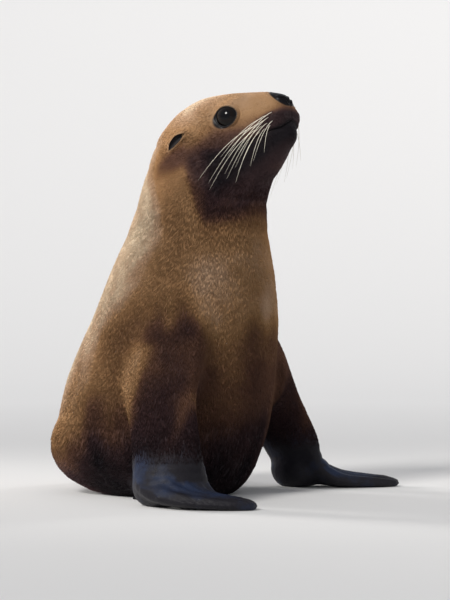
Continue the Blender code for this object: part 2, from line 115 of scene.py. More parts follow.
# %% [markdown]
# ## The camera and the light
#
# The camera stands at the animal's right, a little ahead of it, and looks level from half the
# animal's height. A long lens keeps the proportions. The shift is only the small one that puts
# the animal where it belongs in the frame.

# %% The camera
CAMERA_TURN = math.radians(35)  # from a plain side view towards the front
CAMERA_DISTANCE = 3.3
CAMERA_HEIGHT = 0.30
CAMERA_STEP = 0.1005  # sideways, towards the way the animal looks
SENSOR = 36
LENS = 124.1
SHIFT_UP = 4 / 600

to_right = Vector((math.sin(CAMERA_TURN), -math.cos(CAMERA_TURN), 0))
to_camera = Vector((-math.cos(CAMERA_TURN), -math.sin(CAMERA_TURN), 0))
straight_up = Vector((0, 0, 1))

def seen_from(right, up, near):
    """A place given as the camera sees it, from the seat."""
    return seat + to_right * right + straight_up * up + to_camera * near

camera_data = bpy.data.cameras.new("camera")
camera_data.sensor_width, camera_data.lens, camera_data.shift_y = SENSOR, LENS, SHIFT_UP
camera = linked(camera_data, "camera")
camera.location = seen_from(CAMERA_STEP, CAMERA_HEIGHT, CAMERA_DISTANCE)
camera.rotation_euler = (-to_camera).to_track_quat("-Z", "Y").to_euler()
bpy.context.scene.camera = camera
bpy.context.scene.view_settings.view_transform = "Standard"
print("camera at", [round(c, 2) for c in camera.location])

# %% [markdown]
# A studio hides the line between floor and wall with a curved sheet. A straight one would stand in
# the way when the animal is looked at from behind, so here the profile is spun into a wide shallow
# dish: flat under the animal, and rising in an arc all round it, beyond the camera.

# %% The floor and backdrop
FLAT_RADIUS = 3.6
DISH_RADIUS = 9.8
DISH_SLOPE = math.radians(45)  # at the rim
DISH_ARC_STEPS = 16
DISH_TURN_STEPS = 96
SAME_PLACE = 1e-6  # points closer than this are one

def studio_dish():
    arc_radius = (DISH_RADIUS - FLAT_RADIUS) / math.sin(DISH_SLOPE)
    profile = [(0.0, 0.0)]
    for step in range(DISH_ARC_STEPS + 1):
        angle = DISH_SLOPE * step / DISH_ARC_STEPS
        rise = arc_radius * (1 - math.cos(angle))
        profile.append((FLAT_RADIUS + arc_radius * math.sin(angle), rise))
    bm = bmesh.new()
    verts = [bm.verts.new(seat + Vector((out, 0, up))) for out, up in profile]
    edges = [bm.edges.new(pair) for pair in zip(verts, verts[1:])]
    bmesh.ops.spin(
        bm, geom=verts + edges, cent=seat, axis=(0, 0, 1), angle=math.tau,
        steps=DISH_TURN_STEPS, use_merge=True,
    )
    bmesh.ops.remove_doubles(bm, verts=bm.verts, dist=SAME_PLACE)
    bmesh.ops.recalc_face_normals(bm, faces=bm.faces)
    mesh = mesh_of(bm, "studio_dish")
    mesh.shade_smooth()
    return mesh

dish = linked(studio_dish(), "studio_dish")
print("dish faces:", len(dish.data.polygons))

# %% [markdown]
# The light is plain and soft. A broad sun from the upper left lights floor and backdrop evenly,
# and its image is the one bright spot in the eye. A lamp behind the animal draws the pale rim of
# the head and back, and a weaker one the edge of the chest. These two are kept out of reflections,
# so that the eye stays dark. A pale sky fills what is left.

# %% Helpers for lamps
WARM_WHITE = (1.0, 0.97, 0.93)
RIM_SPREAD = math.radians(32)
CHEST_HEIGHT = 0.35

chest_middle = seen_from(0, CHEST_HEIGHT, 0)

def placed_lamp(name, kind, place, aim, strength):
    data = bpy.data.lights.new(name, kind)
    data.energy, data.color = strength, WARM_WHITE
    lamp = linked(data, name)
    lamp.location = place
    lamp.rotation_euler = (aim - place).to_track_quat("-Z", "Y").to_euler()
    return lamp

def rim_lamp(name, place, size, power):
    lamp = placed_lamp(name, "AREA", seen_from(*place), chest_middle, power)
    lamp.data.shape, lamp.data.size, lamp.data.spread = "DISK", size, RIM_SPREAD
    lamp.visible_glossy = False
    return lamp

print("the lamps look at", [round(c, 2) for c in chest_middle])

# %% Place the lamps
KEY_WAY = (-0.47, 0.61, 0.62)  # towards the sun, as the camera sees it
KEY_DISTANCE = 4
KEY_STRENGTH = 2.25
KEY_SOFTNESS = math.radians(15)
SKY_COLOUR = (0.93, 0.95, 1.0, 1)
SKY_STRENGTH = 0.44
RIMS = (  # name, place as the camera sees it, size, power
    ("back_rim", (-2.6, 0.75, -1.5), 1.0, 7.5),
    ("chest_rim", (2.2, 0.55, -1.8), 0.8, 2.8),
)

key_place = chest_middle + (seen_from(*KEY_WAY) - seat) * KEY_DISTANCE
key = placed_lamp("key", "SUN", key_place, chest_middle, KEY_STRENGTH)
key.data.angle = KEY_SOFTNESS
rims = [rim_lamp(*rim) for rim in RIMS]
sky = bpy.data.worlds.new("sky")
sky.use_nodes = True
sky.node_tree.nodes["Background"].inputs["Color"].default_value = SKY_COLOUR
sky.node_tree.nodes["Background"].inputs["Strength"].default_value = SKY_STRENGTH
bpy.context.scene.world = sky
print("lamps:", [lamp.name for lamp in (key, *rims)])

# %% [markdown]
# ## One skin for the whole body
#
# The solids meet along thin cuts, which a skin must not show. All the solids of flesh are joined
# and remeshed on a grid of small cells: that closes the cuts and gives even squares. The eyes are
# joined in too. The skin then runs over them, and the lids are opened in it afterwards. Ears and
# claws stay pieces of their own.

# %% Join and remesh the flesh
GRID = 0.0057
APART = ("ear", "claw")
SMOOTHING = 0.5
SMOOTHING_ROUNDS = 6

flesh = sorted(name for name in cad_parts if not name.startswith(APART))

def evaluated(piece, name):
    """The mesh of a piece with its modifiers applied. The piece itself is removed."""
    bpy.context.view_layer.update()
    graph = bpy.context.evaluated_depsgraph_get()
    mesh = bpy.data.meshes.new_from_object(piece.evaluated_get(graph))
    mesh.name = name
    bpy.data.objects.remove(piece)
    return mesh

def remeshed_flesh():
    bm = bmesh.new()
    for name in flesh:
        bm.from_mesh(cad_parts[name].data)
    bmesh.ops.remove_doubles(bm, verts=bm.verts, dist=SAME_PLACE)
    rough = linked(mesh_of(bm, "flesh"), "flesh")
    grid = rough.modifiers.new("grid", "REMESH")
    grid.mode, grid.voxel_size = "VOXEL", GRID
    soften = rough.modifiers.new("soften", "SMOOTH")
    soften.factor, soften.iterations = SMOOTHING, SMOOTHING_ROUNDS
    return evaluated(rough, "skin")

skin_mesh = remeshed_flesh()
print("squares:", len(skin_mesh.polygons), "from", len(flesh), "solids")

# %% [markdown]
# The skin needs a flat map of itself, on which the colours are kept when the model leaves
# Blender. The map is made now, while the skin has few faces: they are laid flat in patches that
# face the same way, and the finer faces cut from them later keep their place on it.

# %% Unwrap the skin
PATCH_ANGLE = math.radians(66)
PATCH_GAP = 0.003

def unwrapped(mesh):
    piece = linked(mesh, "unwrapping")
    mesh.uv_layers.new(name="OFBake")
    bpy.context.view_layer.objects.active = piece
    piece.select_set(True)
    bpy.ops.object.mode_set(mode="EDIT")
    bpy.ops.mesh.select_all(action="SELECT")
    bpy.ops.uv.smart_project(angle_limit=PATCH_ANGLE, island_margin=PATCH_GAP)
    bpy.ops.object.mode_set(mode="OBJECT")
    bpy.data.objects.remove(piece)
    return mesh

skin_mesh = unwrapped(skin_mesh)
print("map:", skin_mesh.uv_layers[0].name)

# %% [markdown]
# A face needs finer squares than a back. The squares of head and flippers are cut in four, those
# of the muzzle and round the eyes in four again, and those along the lids, the lips and the
# nostrils once more.
#
# Two small helpers come back in every step from here. One fades a number from 0 to 1 between two
# places, and the other is a soft bump.

# %% Two helpers: a fade and a bump
def fade(value, start, end):
    """0 at start, 1 at end, smooth between."""
    share = np.clip((value - start) / (end - start), 0, 1)
    return share * share * (3 - 2 * share)

def bell(value, width):
    """1 at zero, falling off over the width on both sides."""
    return np.exp(-((value / width) ** 2))

print("halfway a fade is", fade(0.5, 0, 1), "and a bump's edge is", round(float(bell(1, 1)), 2))

# %% [markdown]
# To know where the lips are, the mouth's line is worked out first: a shallow arch under the nose,
# then almost straight to the corner under the eye.

# %% The line of the mouth
LIPS_UP = -0.0325  # at the middle, in the head's axes
ARCH_DROP = 0.0085
ARCH_HALF_WIDTH = 0.022
ARCH_POWER = 1.2  # 1 is a peak, and 2 is round
CORNER_FORWARD = 0.072
CORNER_DROP = 0.005
LIPS_FRONT = 0.141

def above_mouth(head_points):
    """How far points lie above the line of the mouth."""
    forward, side, up = head_points.T
    arch = ARCH_DROP * np.minimum(np.abs(side) / ARCH_HALF_WIDTH, 1) ** ARCH_POWER
    fall = CORNER_DROP * np.clip((LIPS_FRONT - forward) / (LIPS_FRONT - CORNER_FORWARD), 0, 1)
    return up - (LIPS_UP - arch - fall)

print("the mouth's middle lies", abs(LIPS_UP) * 1000, "mm below the head's middle line")

# %% How far from the eyes
EYE_SIDE = abs(middle("eye_left").x - eyes_middle.x)
EYE_RADIUS = (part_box("eye_left")[1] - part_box("eye_left")[0]).z / 2

def beside_eye(head_points):
    """How far points lie from the nearer eye's middle."""
    to_eye = [EYES_FORWARD, EYE_SIDE, EYES_UP]
    mirrored = head_points * [1, 0, 1] + [0, 1, 0] * np.abs(head_points)
    return np.linalg.norm(mirrored - to_eye, axis=1)

print("eye radius in mm:", round(EYE_RADIUS * 1000, 1))

# %% Where finer squares are wanted
FLIPPERS = ("fore_flipper_left", "fore_flipper_right", "hind_flipper_left", "hind_flipper_right")
FLIPPER_HEIGHT = 0.045  # what lies lower is a flipper's blade, and what lies higher its wrist
HEAD_FORWARD, HEAD_UP = -0.060, -0.130  # each pair is a corner, from which on squares are finer
FACE_FORWARD, FACE_UP = 0.052, -0.072
NOSE_FORWARD, NOSE_UP = 0.152, -0.014
LIPS_HALF_BAND = 0.0045
LIPS_BEHIND_CORNER = 0.004
LIDS_OFF_EYE = 0.012
LIDS_INNER, LIDS_OUTER = 0.0115, 0.0215  # from the line through both eyes

def is_head_or_blade(points):
    places = in_head(points)
    chosen = (places[:, 0] > HEAD_FORWARD) & (places[:, 2] > HEAD_UP)
    for low, high in (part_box(name) for name in FLIPPERS):
        in_box = ((points > np.array(low)) & (points < np.array(high))).all(axis=1)
        chosen |= in_box & (points[:, 2] < FLIPPER_HEIGHT)
    return chosen

def is_face(points):
    places = in_head(points)
    return (places[:, 0] > FACE_FORWARD) & (places[:, 2] > FACE_UP)

def is_fine(points):
    places = in_head(points)
    lips = np.abs(above_mouth(places)) < LIPS_HALF_BAND
    lips &= places[:, 0] > CORNER_FORWARD - LIPS_BEHIND_CORNER
    nose = (places[:, 0] > NOSE_FORWARD) & (places[:, 2] > NOSE_UP)
    opening = np.hypot(places[:, 0] - EYES_FORWARD, places[:, 2] - EYES_UP)
    lids = (opening > LIDS_INNER) & (opening < LIDS_OUTER)
    return lips | nose | (lids & (beside_eye(places) < EYE_RADIUS + LIDS_OFF_EYE))

print("levels:", [level.__name__ for level in (is_head_or_blade, is_face, is_fine)])

# %% Cut the finer squares
def finer(bm, wanted):
    """Cuts each wanted square in four, and rounds the new points."""
    bm.faces.ensure_lookup_table()
    centres = np.array([face.calc_center_median() for face in bm.faces])
    chosen = [bm.faces[i] for i in np.flatnonzero(wanted(centres))]
    edges = list({edge for face in chosen for edge in face.edges})
    made = bmesh.ops.subdivide_edges(bm, edges=edges, cuts=1, use_grid_fill=True)
    verts = list({vert for face in chosen if face.is_valid for vert in face.verts})
    verts += [g for g in made["geom_inner"] if isinstance(g, bmesh.types.BMVert)]
    bmesh.ops.smooth_vert(
        bm, verts=list(set(verts)), factor=SMOOTHING,
        use_axis_x=True, use_axis_y=True, use_axis_z=True,
    )

bm = bmesh.new()
bm.from_mesh(skin_mesh)
for level in (is_head_or_blade, is_face, is_fine):
    finer(bm, level)
    print("faces:", len(bm.faces), "triangles:", sum(len(face.verts) - 2 for face in bm.faces))
bm.to_mesh(skin_mesh)
bm.free()

# %% [markdown]
# ## Shape the skin
#
# From here the skin is shaped as a sculptor would, by moving its points a little along the
# surface's own direction. The points are held as rows of numbers, so that a groove or a fold is
# one formula for all of them at once.

# %% Read and write the skin's points
def read_rows(entries, key, width, kind=np.float32):
    """One row of numbers for each entry of a list that Blender keeps."""
    rows = np.empty(len(entries) * width, kind)
    entries.foreach_get(key, rows)
    return rows.reshape(-1, width)

def read_points(mesh):
    return read_rows(mesh.vertices, "co", 3).astype(float)

def read_normals(mesh):
    return read_rows(mesh.vertex_normals, "vector", 3).astype(float)

def write_points(mesh, points):
    mesh.vertices.foreach_set("co", points.astype(np.float32).ravel())
    mesh.update()

skin_points = read_points(skin_mesh)
skin_edges = read_rows(skin_mesh.edges, "vertices", 2, np.int32)
print("points:", len(skin_points), "edges:", len(skin_edges))

# %% Raise the skin, and even out
def raise_skin(rise):
    """Moves each point of the skin out along the surface, or in where its rise is below 0."""
    skin_points[:] += read_normals(skin_mesh) * rise[:, None]
    write_points(skin_mesh, skin_points)

def relaxed(values, rounds, share=0.5):
    """Moves each point's value towards the mean of its neighbours'."""
    flat = np.asarray(values, float).reshape(len(values), -1)
    first, second = skin_edges.T
    count = np.bincount(skin_edges.ravel(), minlength=len(flat))[:, None]
    for _ in range(rounds):
        total = np.column_stack([
            np.bincount(first, column[second], len(flat))
            + np.bincount(second, column[first], len(flat))
            for column in flat.T
        ])
        flat = flat + (total / count - flat) * np.reshape(share, (-1, 1))
    return flat.reshape(np.shape(values))

print("neighbours of a point:", round(2 * len(skin_edges) / len(skin_points), 1))

# %% [markdown]
# Each point also learns which solid it lies on. That tells fur from bare skin: the coat of a sea
# lion ends at the wrist, and the flippers beyond it are bare black leather.

# %% Which part of the body is each point on
def nearest_parts(points):
    labelled = []
    for index, name in enumerate(flesh):
        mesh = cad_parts[name].data
        labelled += [(index, vert.co) for vert in mesh.vertices]
        labelled += [(index, face.center) for face in mesh.polygons]
    tree = KDTree(len(labelled))
    for index, (_, place) in enumerate(labelled):
        tree.insert(place, index)
    tree.balance()
    return np.array([labelled[tree.find(point)[1]][0] for point in points])

part_of = nearest_parts(skin_points)

def on_parts(*starts):
    """1 on the solids whose names start so, 0 elsewhere."""
    chosen = [i for i, name in enumerate(flesh) if name.startswith(starts)]
    return np.isin(part_of, chosen).astype(float)

print("points on the head:", int(on_parts("head").sum()))

# %% Where the skin is bare
FUR_THINS, FUR_GONE = 0.112, 0.056  # heights above the floor, on a forearm
BARE_EDGE_ROUNDS = 4  # of evening out, to soften the edge of the fur

on_limb = on_parts("forearm", "fore_flipper")
on_hind = on_parts("hind_flipper")
bare = on_limb * fade(skin_points[:, 2], FUR_THINS, FUR_GONE)
bare = relaxed(np.maximum(bare, on_hind), BARE_EDGE_ROUNDS)
print("bare share:", round(float(bare.mean()), 2))

# %% [markdown]
# The solids reach to the tips of the coat, so the skin sinks by the depth of the fur: about two
# millimetres on the body, less on the face, and almost nothing where it is bare.

# %% Sink the skin under its coat
BODY_FUR = 0.0022
FACE_FUR = 0.0009
FACE_FUR_FORWARD = (0.0, 0.10)  # along the head, from the one depth to the other
BARE_DEPTH = 0.0003
DEPTH_ROUNDS = 6

head_points = in_head(skin_points)
on_head = np.clip(on_parts("head", "lower_jaw", "nose", "eye"), 0, 1)
face_share = fade(head_points[:, 0], *FACE_FUR_FORWARD) * on_head
coat_depth = BODY_FUR + (FACE_FUR - BODY_FUR) * face_share
coat_depth = coat_depth + (BARE_DEPTH - coat_depth) * bare
coat_depth = relaxed(coat_depth, DEPTH_ROUNDS)
raise_skin(-coat_depth)
print("coat depth in mm:", np.round([coat_depth.min() * 1000, coat_depth.max() * 1000], 1))

# %% [markdown]
# ### Lids
#
# A sea lion's eye is a large ball, and its lids are a thick dark rim. Inside the opening, the
# skin is pushed back behind the ball. Round it, the skin is lifted to lie on the ball with its
# own thickness. A low ridge and a soft furrow round it show where the lids fold when the eye
# closes.
#
# The lids are worked out on a scale of their own, round_opening: it is 1 on the edge of the
# opening, less inside it and more outside.

# %% Where the lids are
LID_LENGTH = 0.0172  # half the opening along the muzzle
LID_HEIGHT = 0.0142

def eye_places(points):
    """Rows of (forward, outward, up) from the nearer eye's middle."""
    places = in_head(points)
    places[:, 1] = np.abs(places[:, 1])
    return places - [EYES_FORWARD, EYE_SIDE, EYES_UP]

def round_opening(places):
    return np.hypot(places[:, 0] / LID_LENGTH, places[:, 2] / LID_HEIGHT)

print("opening in mm:", round(LID_LENGTH * 2000, 1), "by", round(LID_HEIGHT * 2000, 1))

# %% Open the lids
LID_THICKNESS = 0.0017
LID_DEPTH = 0.0045
LIDS_REACH = 0.014  # out from the eye
LIDS_INWARD = -0.004
# The rest are places on the scale of round_opening.
LIDS_END = 2.2
LID_EDGE = (0.93, 1.05)
OPENING_EDGE = (0.90, 1.0)
OFF_BALL = (1.75, 1.25)
LID_ENDS = (1.06, 1.50)
LID_FOLDS = ((0.0007, 1.16, 0.08), (-0.0008, 1.44, 0.08))  # rise, place, width

def lidded(points):
    places = eye_places(points)
    reach = round_opening(places)
    away = np.linalg.norm(places, axis=1)
    outside = (places[:, 1] > LIDS_INWARD) & (away < EYE_RADIUS + LIDS_REACH) & (reach < LIDS_END)
    lid = EYE_RADIUS + LID_THICKNESS * fade(reach, *LID_EDGE)
    lid -= (LID_THICKNESS + LID_DEPTH) * (1 - fade(reach, *OPENING_EDGE))
    on_ball = fade(reach, *OFF_BALL)
    beyond = np.maximum(away, lid * on_ball + away * (1 - on_ball))
    opened = fade(reach, *LID_ENDS)
    wanted = lid * (1 - opened) + beyond * opened
    wanted += sum(rise * bell(reach - place, width) for rise, place, width in LID_FOLDS)
    scale = np.where(outside, wanted / np.maximum(away, SAME_PLACE), 1)
    moved = places * scale[:, None] - places
    moved[:, 1] *= np.sign(in_head(points)[:, 1])
    return points + moved @ head_axes.T

skin_points = lidded(skin_points)
opened_share = (round_opening(eye_places(skin_points)) < LID_EDGE[0]).mean()
print("share of points in the openings:", round(float(opened_share), 3))

# %% Soften the lids
SOFTENED_END = 2.0
SOFTENED_INSIDE = (0.97, 1.10)
SOFTENED_OUTSIDE = (1.9, 1.5)
LID_SOFTENING = 0.5
LID_ROUNDS = 3

lid_reach = round_opening(eye_places(skin_points))
near_lids = beside_eye(in_head(skin_points)) < EYE_RADIUS + LIDS_OFF_EYE
near_lids &= lid_reach < SOFTENED_END
softening = fade(lid_reach, *SOFTENED_INSIDE) * fade(lid_reach, *SOFTENED_OUTSIDE)
skin_points = relaxed(skin_points, LID_ROUNDS, softening * near_lids * LID_SOFTENING)
write_points(skin_mesh, skin_points)
print("softened points:", int(((softening > 0) & near_lids).sum()))

# %% [markdown]
# ### Muzzle
#
# The muzzle has a nose pad with two slanting nostrils, a groove that runs down from it, full
# whisker pads on both sides, and lips that meet in a fine line. The upper lip hangs a little over
# the lower one, as it does on a living animal.

# %% Where the nostrils are
NOSTRIL_LOW = (0.0032, -0.0050)  # out from the middle and up, in the head's axes
NOSTRIL_HIGH = (0.0118, 0.0052)
NOSTRIL_BOW = 0.0016

def along_nostril(head_points):
    """Distance from the slit of the nearer nostril, and how far along it the nearest point is."""
    start, end = np.array(NOSTRIL_LOW), np.array(NOSTRIL_HIGH)
    place = np.column_stack([np.abs(head_points[:, 1]), head_points[:, 2]]) - start
    line = end - start
    share = np.clip(place @ line / (line @ line), 0, 1)
    bow = NOSTRIL_BOW * np.sin(np.pi * share)
    upright = np.array([-line[1], line[0]]) / np.linalg.norm(line)
    nearest = share[:, None] * line + bow[:, None] * upright
    return np.linalg.norm(place - nearest, axis=1), share

print("points at the nostrils:", int((along_nostril(in_head(skin_points))[0] < NOSTRIL_BOW).sum()))

# %% Where the nose pad is
NOSE_CORNER = (0.1555, 0.0105)  # forward and up
NOSE_SLOPE = (0.8, 0.6)
NOSE_EDGE = 0.0012
NOSE_BOTTOM = (-0.0125, -0.0095)

def nose_pad(head_points):
    """1 on the bare black pad of the nose."""
    forward, _, up = head_points.T
    slope = (forward - NOSE_CORNER[0]) * NOSE_SLOPE[0] + (up - NOSE_CORNER[1]) * NOSE_SLOPE[1]
    return fade(slope, -NOSE_EDGE, NOSE_EDGE) * fade(up, *NOSE_BOTTOM)

print("points on the nose pad:", int((nose_pad(in_head(skin_points)) > 0.5).sum()))

# %% Cut the lips and the nose
LIP_FOLDS = (  # rise, place above the line of the mouth, width
    (-0.0026, 0.0, 0.0010),  # the line where the lips meet
    (0.0010, 0.0040, 0.0030),  # the roll of the upper lip
    (-0.0007, -0.0030, 0.0025),  # the lower lip under it
)
LIPS_START = (CORNER_FORWARD - 0.006, CORNER_FORWARD + 0.012)
GROOVE_DEPTH = 0.0015
GROOVE_WIDTH = 0.0010
GROOVE_FRONT = (0.146, 0.153)
GROOVE_TOP = (0.004, -0.004)
GROOVE_BOTTOM = (-0.0012, 0.0012)  # up from the line of the mouth
NOSTRIL_CUT = 0.0048
NOSTRIL_WIDTHS = (0.0013, 0.0007)  # at the low end, and how much wider at the high one
NOSTRIL_RIM = (0.0010, 0.0036, 0.0018)  # rise, distance from the slit, width
NOSTRIL_FRONT = (0.150, 0.156)
NOSE_EDGE_CUT = 0.0009
NOSE_START = (0.140, 0.150)

def nose_shape(head_points):
    """How far the lips, the groove, the nostrils and the edge of the nose pad rise or sink."""
    forward, side, up = head_points.T
    above = above_mouth(head_points)
    at_lips = fade(forward, *LIPS_START)
    at_nostrils = fade(forward, *NOSTRIL_FRONT)
    rise = sum(high * bell(above - place, width) * at_lips for high, place, width in LIP_FOLDS)
    groove = bell(side, GROOVE_WIDTH) * fade(above, *GROOVE_BOTTOM) * fade(up, *GROOVE_TOP)
    rise -= GROOVE_DEPTH * groove * fade(forward, *GROOVE_FRONT)
    slit, share = along_nostril(head_points)
    rise -= NOSTRIL_CUT * bell(slit, NOSTRIL_WIDTHS[0] + NOSTRIL_WIDTHS[1] * share) * at_nostrils
    rim_rise, rim_place, rim_width = NOSTRIL_RIM
    rise += rim_rise * bell(slit - rim_place, rim_width) * at_nostrils
    edge = nose_pad(head_points)
    return rise - NOSE_EDGE_CUT * (4 * edge * (1 - edge)) * fade(forward, *NOSE_START)

print("deepest cut in mm:", round(nose_shape(in_head(skin_points)).min() * 1000, 1))

# %% Fill the whisker pads
PAD_RISE = 0.0013
PAD_MIDDLE = (0.140, 0.013)  # forward, and up from the line of the mouth
PAD_SIZE = (0.022, 0.011)
PAD_STARTS = (0.006, 0.018)  # out from the middle

def pad_shape(head_points):
    forward, side, _ = head_points.T
    above = above_mouth(head_points)
    pad = bell(forward - PAD_MIDDLE[0], PAD_SIZE[0]) * bell(above - PAD_MIDDLE[1], PAD_SIZE[1])
    return PAD_RISE * (pad * fade(np.abs(side), *PAD_STARTS)) * fade(forward, *LIPS_START)

head_points = in_head(skin_points)
raise_skin((nose_shape(head_points) + pad_shape(head_points)) * on_head)
print("the pads rise by up to", round(pad_shape(head_points).max() * 1000, 1), "mm")

# %% [markdown]
# ### Whisker roots
#
# The whiskers stand in rows on the pads. Their roots are worked out here, before the skin is
# coloured, because each sits on a small raised spot that is darker than the skin round it.

# %% Where the whiskers' roots are
ROOTS_FRONT = 0.158
ROOT_GAP = 0.0092
TOP_ROW_ABOVE_MOUTH = 0.0240
ROW_GAP = 0.0058
ROW_BACK = 0.0020  # each row starts this much further back than the one above it
ROW_FALL = 0.0008  # each root sits this much lower than the one in front of it
# Each row, from the top: how many, and where the hindmost and the foremost tip lie from its root.
WHISKER_ROWS = (
    (3, (-0.084, 0.040, -0.040), (-0.066, 0.034, -0.046)),
    (4, (-0.116, 0.046, -0.062), (-0.072, 0.032, -0.060)),
    (4, (-0.098, 0.045, -0.078), (-0.044, 0.026, -0.062)),
    (3, (-0.056, 0.036, -0.070), (-0.018, 0.016, -0.046)),
)

def whisker_roots():
    """For the left side: forward, up from the mouth, and the way from root to tip."""
    found = []
    for row, (count, hind_reach, front_reach) in enumerate(WHISKER_ROWS):
        for column in range(count):
            forward = ROOTS_FRONT - ROW_BACK * row - ROOT_GAP * (column + 0.5 * (row % 2))
            above = TOP_ROW_ABOVE_MOUTH - ROW_GAP * row - ROW_FALL * column
            reach = Vector(front_reach).lerp(Vector(hind_reach), column / (count - 1))
            found.append((forward, above, reach))
    return found

print("roots on each side:", len(whisker_roots()))

# %% Raise a small mound at each whisker's root
OFF_MIDDLE = 0.004  # no root is nearer to the middle than this
PIT_WIDTH = 0.0013
PIT_RIM = 0.0005

def settled_roots():
    """The skin point nearest to each root on both sides, with its whisker's way."""
    places = in_head(skin_points)
    above = above_mouth(places)
    found = []
    for side in (1, -1):
        too_near = places[:, 1] * side < OFF_MIDDLE
        for forward, up, reach in whisker_roots():
            gap = np.hypot(places[:, 0] - forward, above - up) + too_near
            found.append((int(gap.argmin()), side, reach))
    return found

roots = settled_roots()
pits = np.zeros(len(skin_points))
for index, *_ in roots:
    gap = np.linalg.norm(skin_points - skin_points[index], axis=1)
    pits = np.maximum(pits, bell(gap, PIT_WIDTH))
raise_skin(PIT_RIM * pits)
print("whiskers:", len(roots))

# %% [markdown]
# ### Folds of the body
#
# Skin creases where it bends: behind the ears when the head is raised, and round the throat. The
# folds are shallow, and waver a little, so that they don't look drawn with a ruler.

# %% Two helpers for folds
def waver(points, *noises):
    """Slow smooth noise. Each noise has a strength, a scale and a turn, which is its seed."""
    total = 0
    for strength, scale, turn in noises:
        x, y, z = (np.asarray(points) * scale).T
        total = total + strength * ((
            np.sin(x * 1.3 + 2.1 * np.sin(y * 0.7 + turn) + turn)
            + np.sin(y * 1.7 + 1.9 * np.sin(z * 0.9 + turn))
            + np.sin(z * 1.1 + 2.3 * np.sin(x * 0.8 + turn))
        ) / 3)
    return total

def folds_at(place, drift, folds):
    """Folds side by side. Each has a place, the way it drifts, its strength and its width."""
    return sum(
        strength * bell(place - at + drift * way, width) for at, way, strength, width in folds
    )

print("a noise of strength 1 reaches", round(waver(skin_points, (1, 9, 0.4)).max(), 2))

# %% Fold the nape and throat
NAPE_FOLDS = ((-0.062, 1, 1.0, 0.006), (-0.088, 1, 0.7, 0.007), (-0.118, -1, 0.6, 0.008))
NAPE_FOLD = 0.0013
NAPE_HEIGHT = (0.36, 0.44)
NAPE_FORWARD = (0.030, -0.010)
THROAT_FOLDS = ((0.455, 1, 1.0, 0.006), (0.420, -1, 0.8, 0.007))
THROAT_FOLD = 0.0016
THROAT_BOTTOM, THROAT_TOP = (0.36, 0.42), (0.50, 0.47)
THROAT_FORWARD = (0.13, 0.19)  # from the seat
FOLD_DRIFT = (0.010, 9, 0.4)  # noises: strength, scale and turn
UNEVEN_SKIN = (0.0006, 40, 1.0)

def body_folds(points, head_points):
    forward, height = head_points[:, 0], points[:, 2]
    neck = fade(height, *NAPE_HEIGHT) * fade(forward, *NAPE_FORWARD) * (1 - bare)
    drift = waver(points, FOLD_DRIFT)
    rise = -NAPE_FOLD * folds_at(forward, drift, NAPE_FOLDS) * neck
    throat = fade(points[:, 1], *(seat.y - ahead for ahead in THROAT_FORWARD))
    throat = throat * fade(height, *THROAT_BOTTOM)
    rings = folds_at(height, drift, THROAT_FOLDS)
    rise -= THROAT_FOLD * rings * throat * fade(height, *THROAT_TOP)
    return rise + waver(points, UNEVEN_SKIN) * (1 - bare) * (1 - on_head)

folds = relaxed(body_folds(skin_points, in_head(skin_points)), 2)
raise_skin(folds)
print("deepest fold in mm:", round(folds.min() * 1000, 1))

# %% [markdown]
# ### Flippers
#
# A flipper is a hand or a foot. Five long fingers or toes lie in it side by side, and show as
# soft ridges, which start beyond the wrist or ankle and end before the tip. Folds cross the
# wrist, where the hand bends forward.

# %% Where the fingers run
FLIPPER_WAYS = ((0.57, -0.82), (0.24, -0.97), (0.96, -0.29), (-0.96, -0.27))  # where each points
FLIPPER_TOP = FLIPPER_HEIGHT + 0.010
FINGERS = (-0.78, -0.42, -0.05, 0.33, 0.72)  # across the flipper, as shares of its half width
FINGER_WIDTH = 0.13
BETWEEN_FINGERS = 0.45
NARROWEST = 0.016
STEPS_ALONG = 24
FACES_UP = (0.15, 0.6)
FINGERS_START = {"fore": (0.22, 0.45), "hind": (0.05, 0.35)}  # shares of the flipper's length
FINGERS_END = (1.02, 0.92)

def finger_ridges(name, way):
    flipper = (on_parts(name) > 0) & (skin_points[:, 2] < FLIPPER_TOP)
    flat = skin_points[:, :2] - skin_points[flipper, :2].mean(axis=0)
    along = flat @ np.array(way)
    across = flat @ np.array([-way[1], way[0]])
    low, high = along[flipper].min(), along[flipper].max()
    share = (along - low) / (high - low)
    step_of = np.clip((share * STEPS_ALONG).astype(int), 0, STEPS_ALONG - 1)
    edges = np.array([
        (across[part].min(initial=0.0), across[part].max(initial=0.0))
        for part in (flipper & (step_of == step) for step in range(STEPS_ALONG))
    ]).T
    steps = np.arange(STEPS_ALONG) + 0.5
    left, right = (np.interp(share * STEPS_ALONG, steps, edge) for edge in edges)
    place = (2 * across - left - right) / np.maximum(right - left, NARROWEST)
    ridge = sum(bell(place - finger, FINGER_WIDTH) for finger in FINGERS) - BETWEEN_FINGERS
    up = fade(read_normals(skin_mesh)[:, 2], *FACES_UP)
    return ridge * flipper * up * fade(share, *FINGERS_START[name[:4]]) * fade(share, *FINGERS_END)

ridges = relaxed(sum(finger_ridges(*pair) for pair in zip(FLIPPERS, FLIPPER_WAYS)), 1)
print("ridged points:", int((ridges > 0.3).sum()))

# %% Raise the fingers and fold the wrists
FINGER_RISE = 0.0034
WRIST_FOLD = 0.0018
WRIST_FOLDS = ((0.050, 0, 1.0, 0.0035), (0.064, 0, 0.8, 0.0035), (0.037, 0, 0.6, 0.003))
WRIST_FORWARD = (0.115, 0.150)  # from the seat
WRIST_DRIFT = (0.006, 28, 2.6)

def wrist_folds():
    height = skin_points[:, 2] + waver(skin_points, WRIST_DRIFT)
    front = fade(skin_points[:, 1], *(seat.y - ahead for ahead in WRIST_FORWARD))
    return folds_at(height, 0, WRIST_FOLDS) * on_limb * front

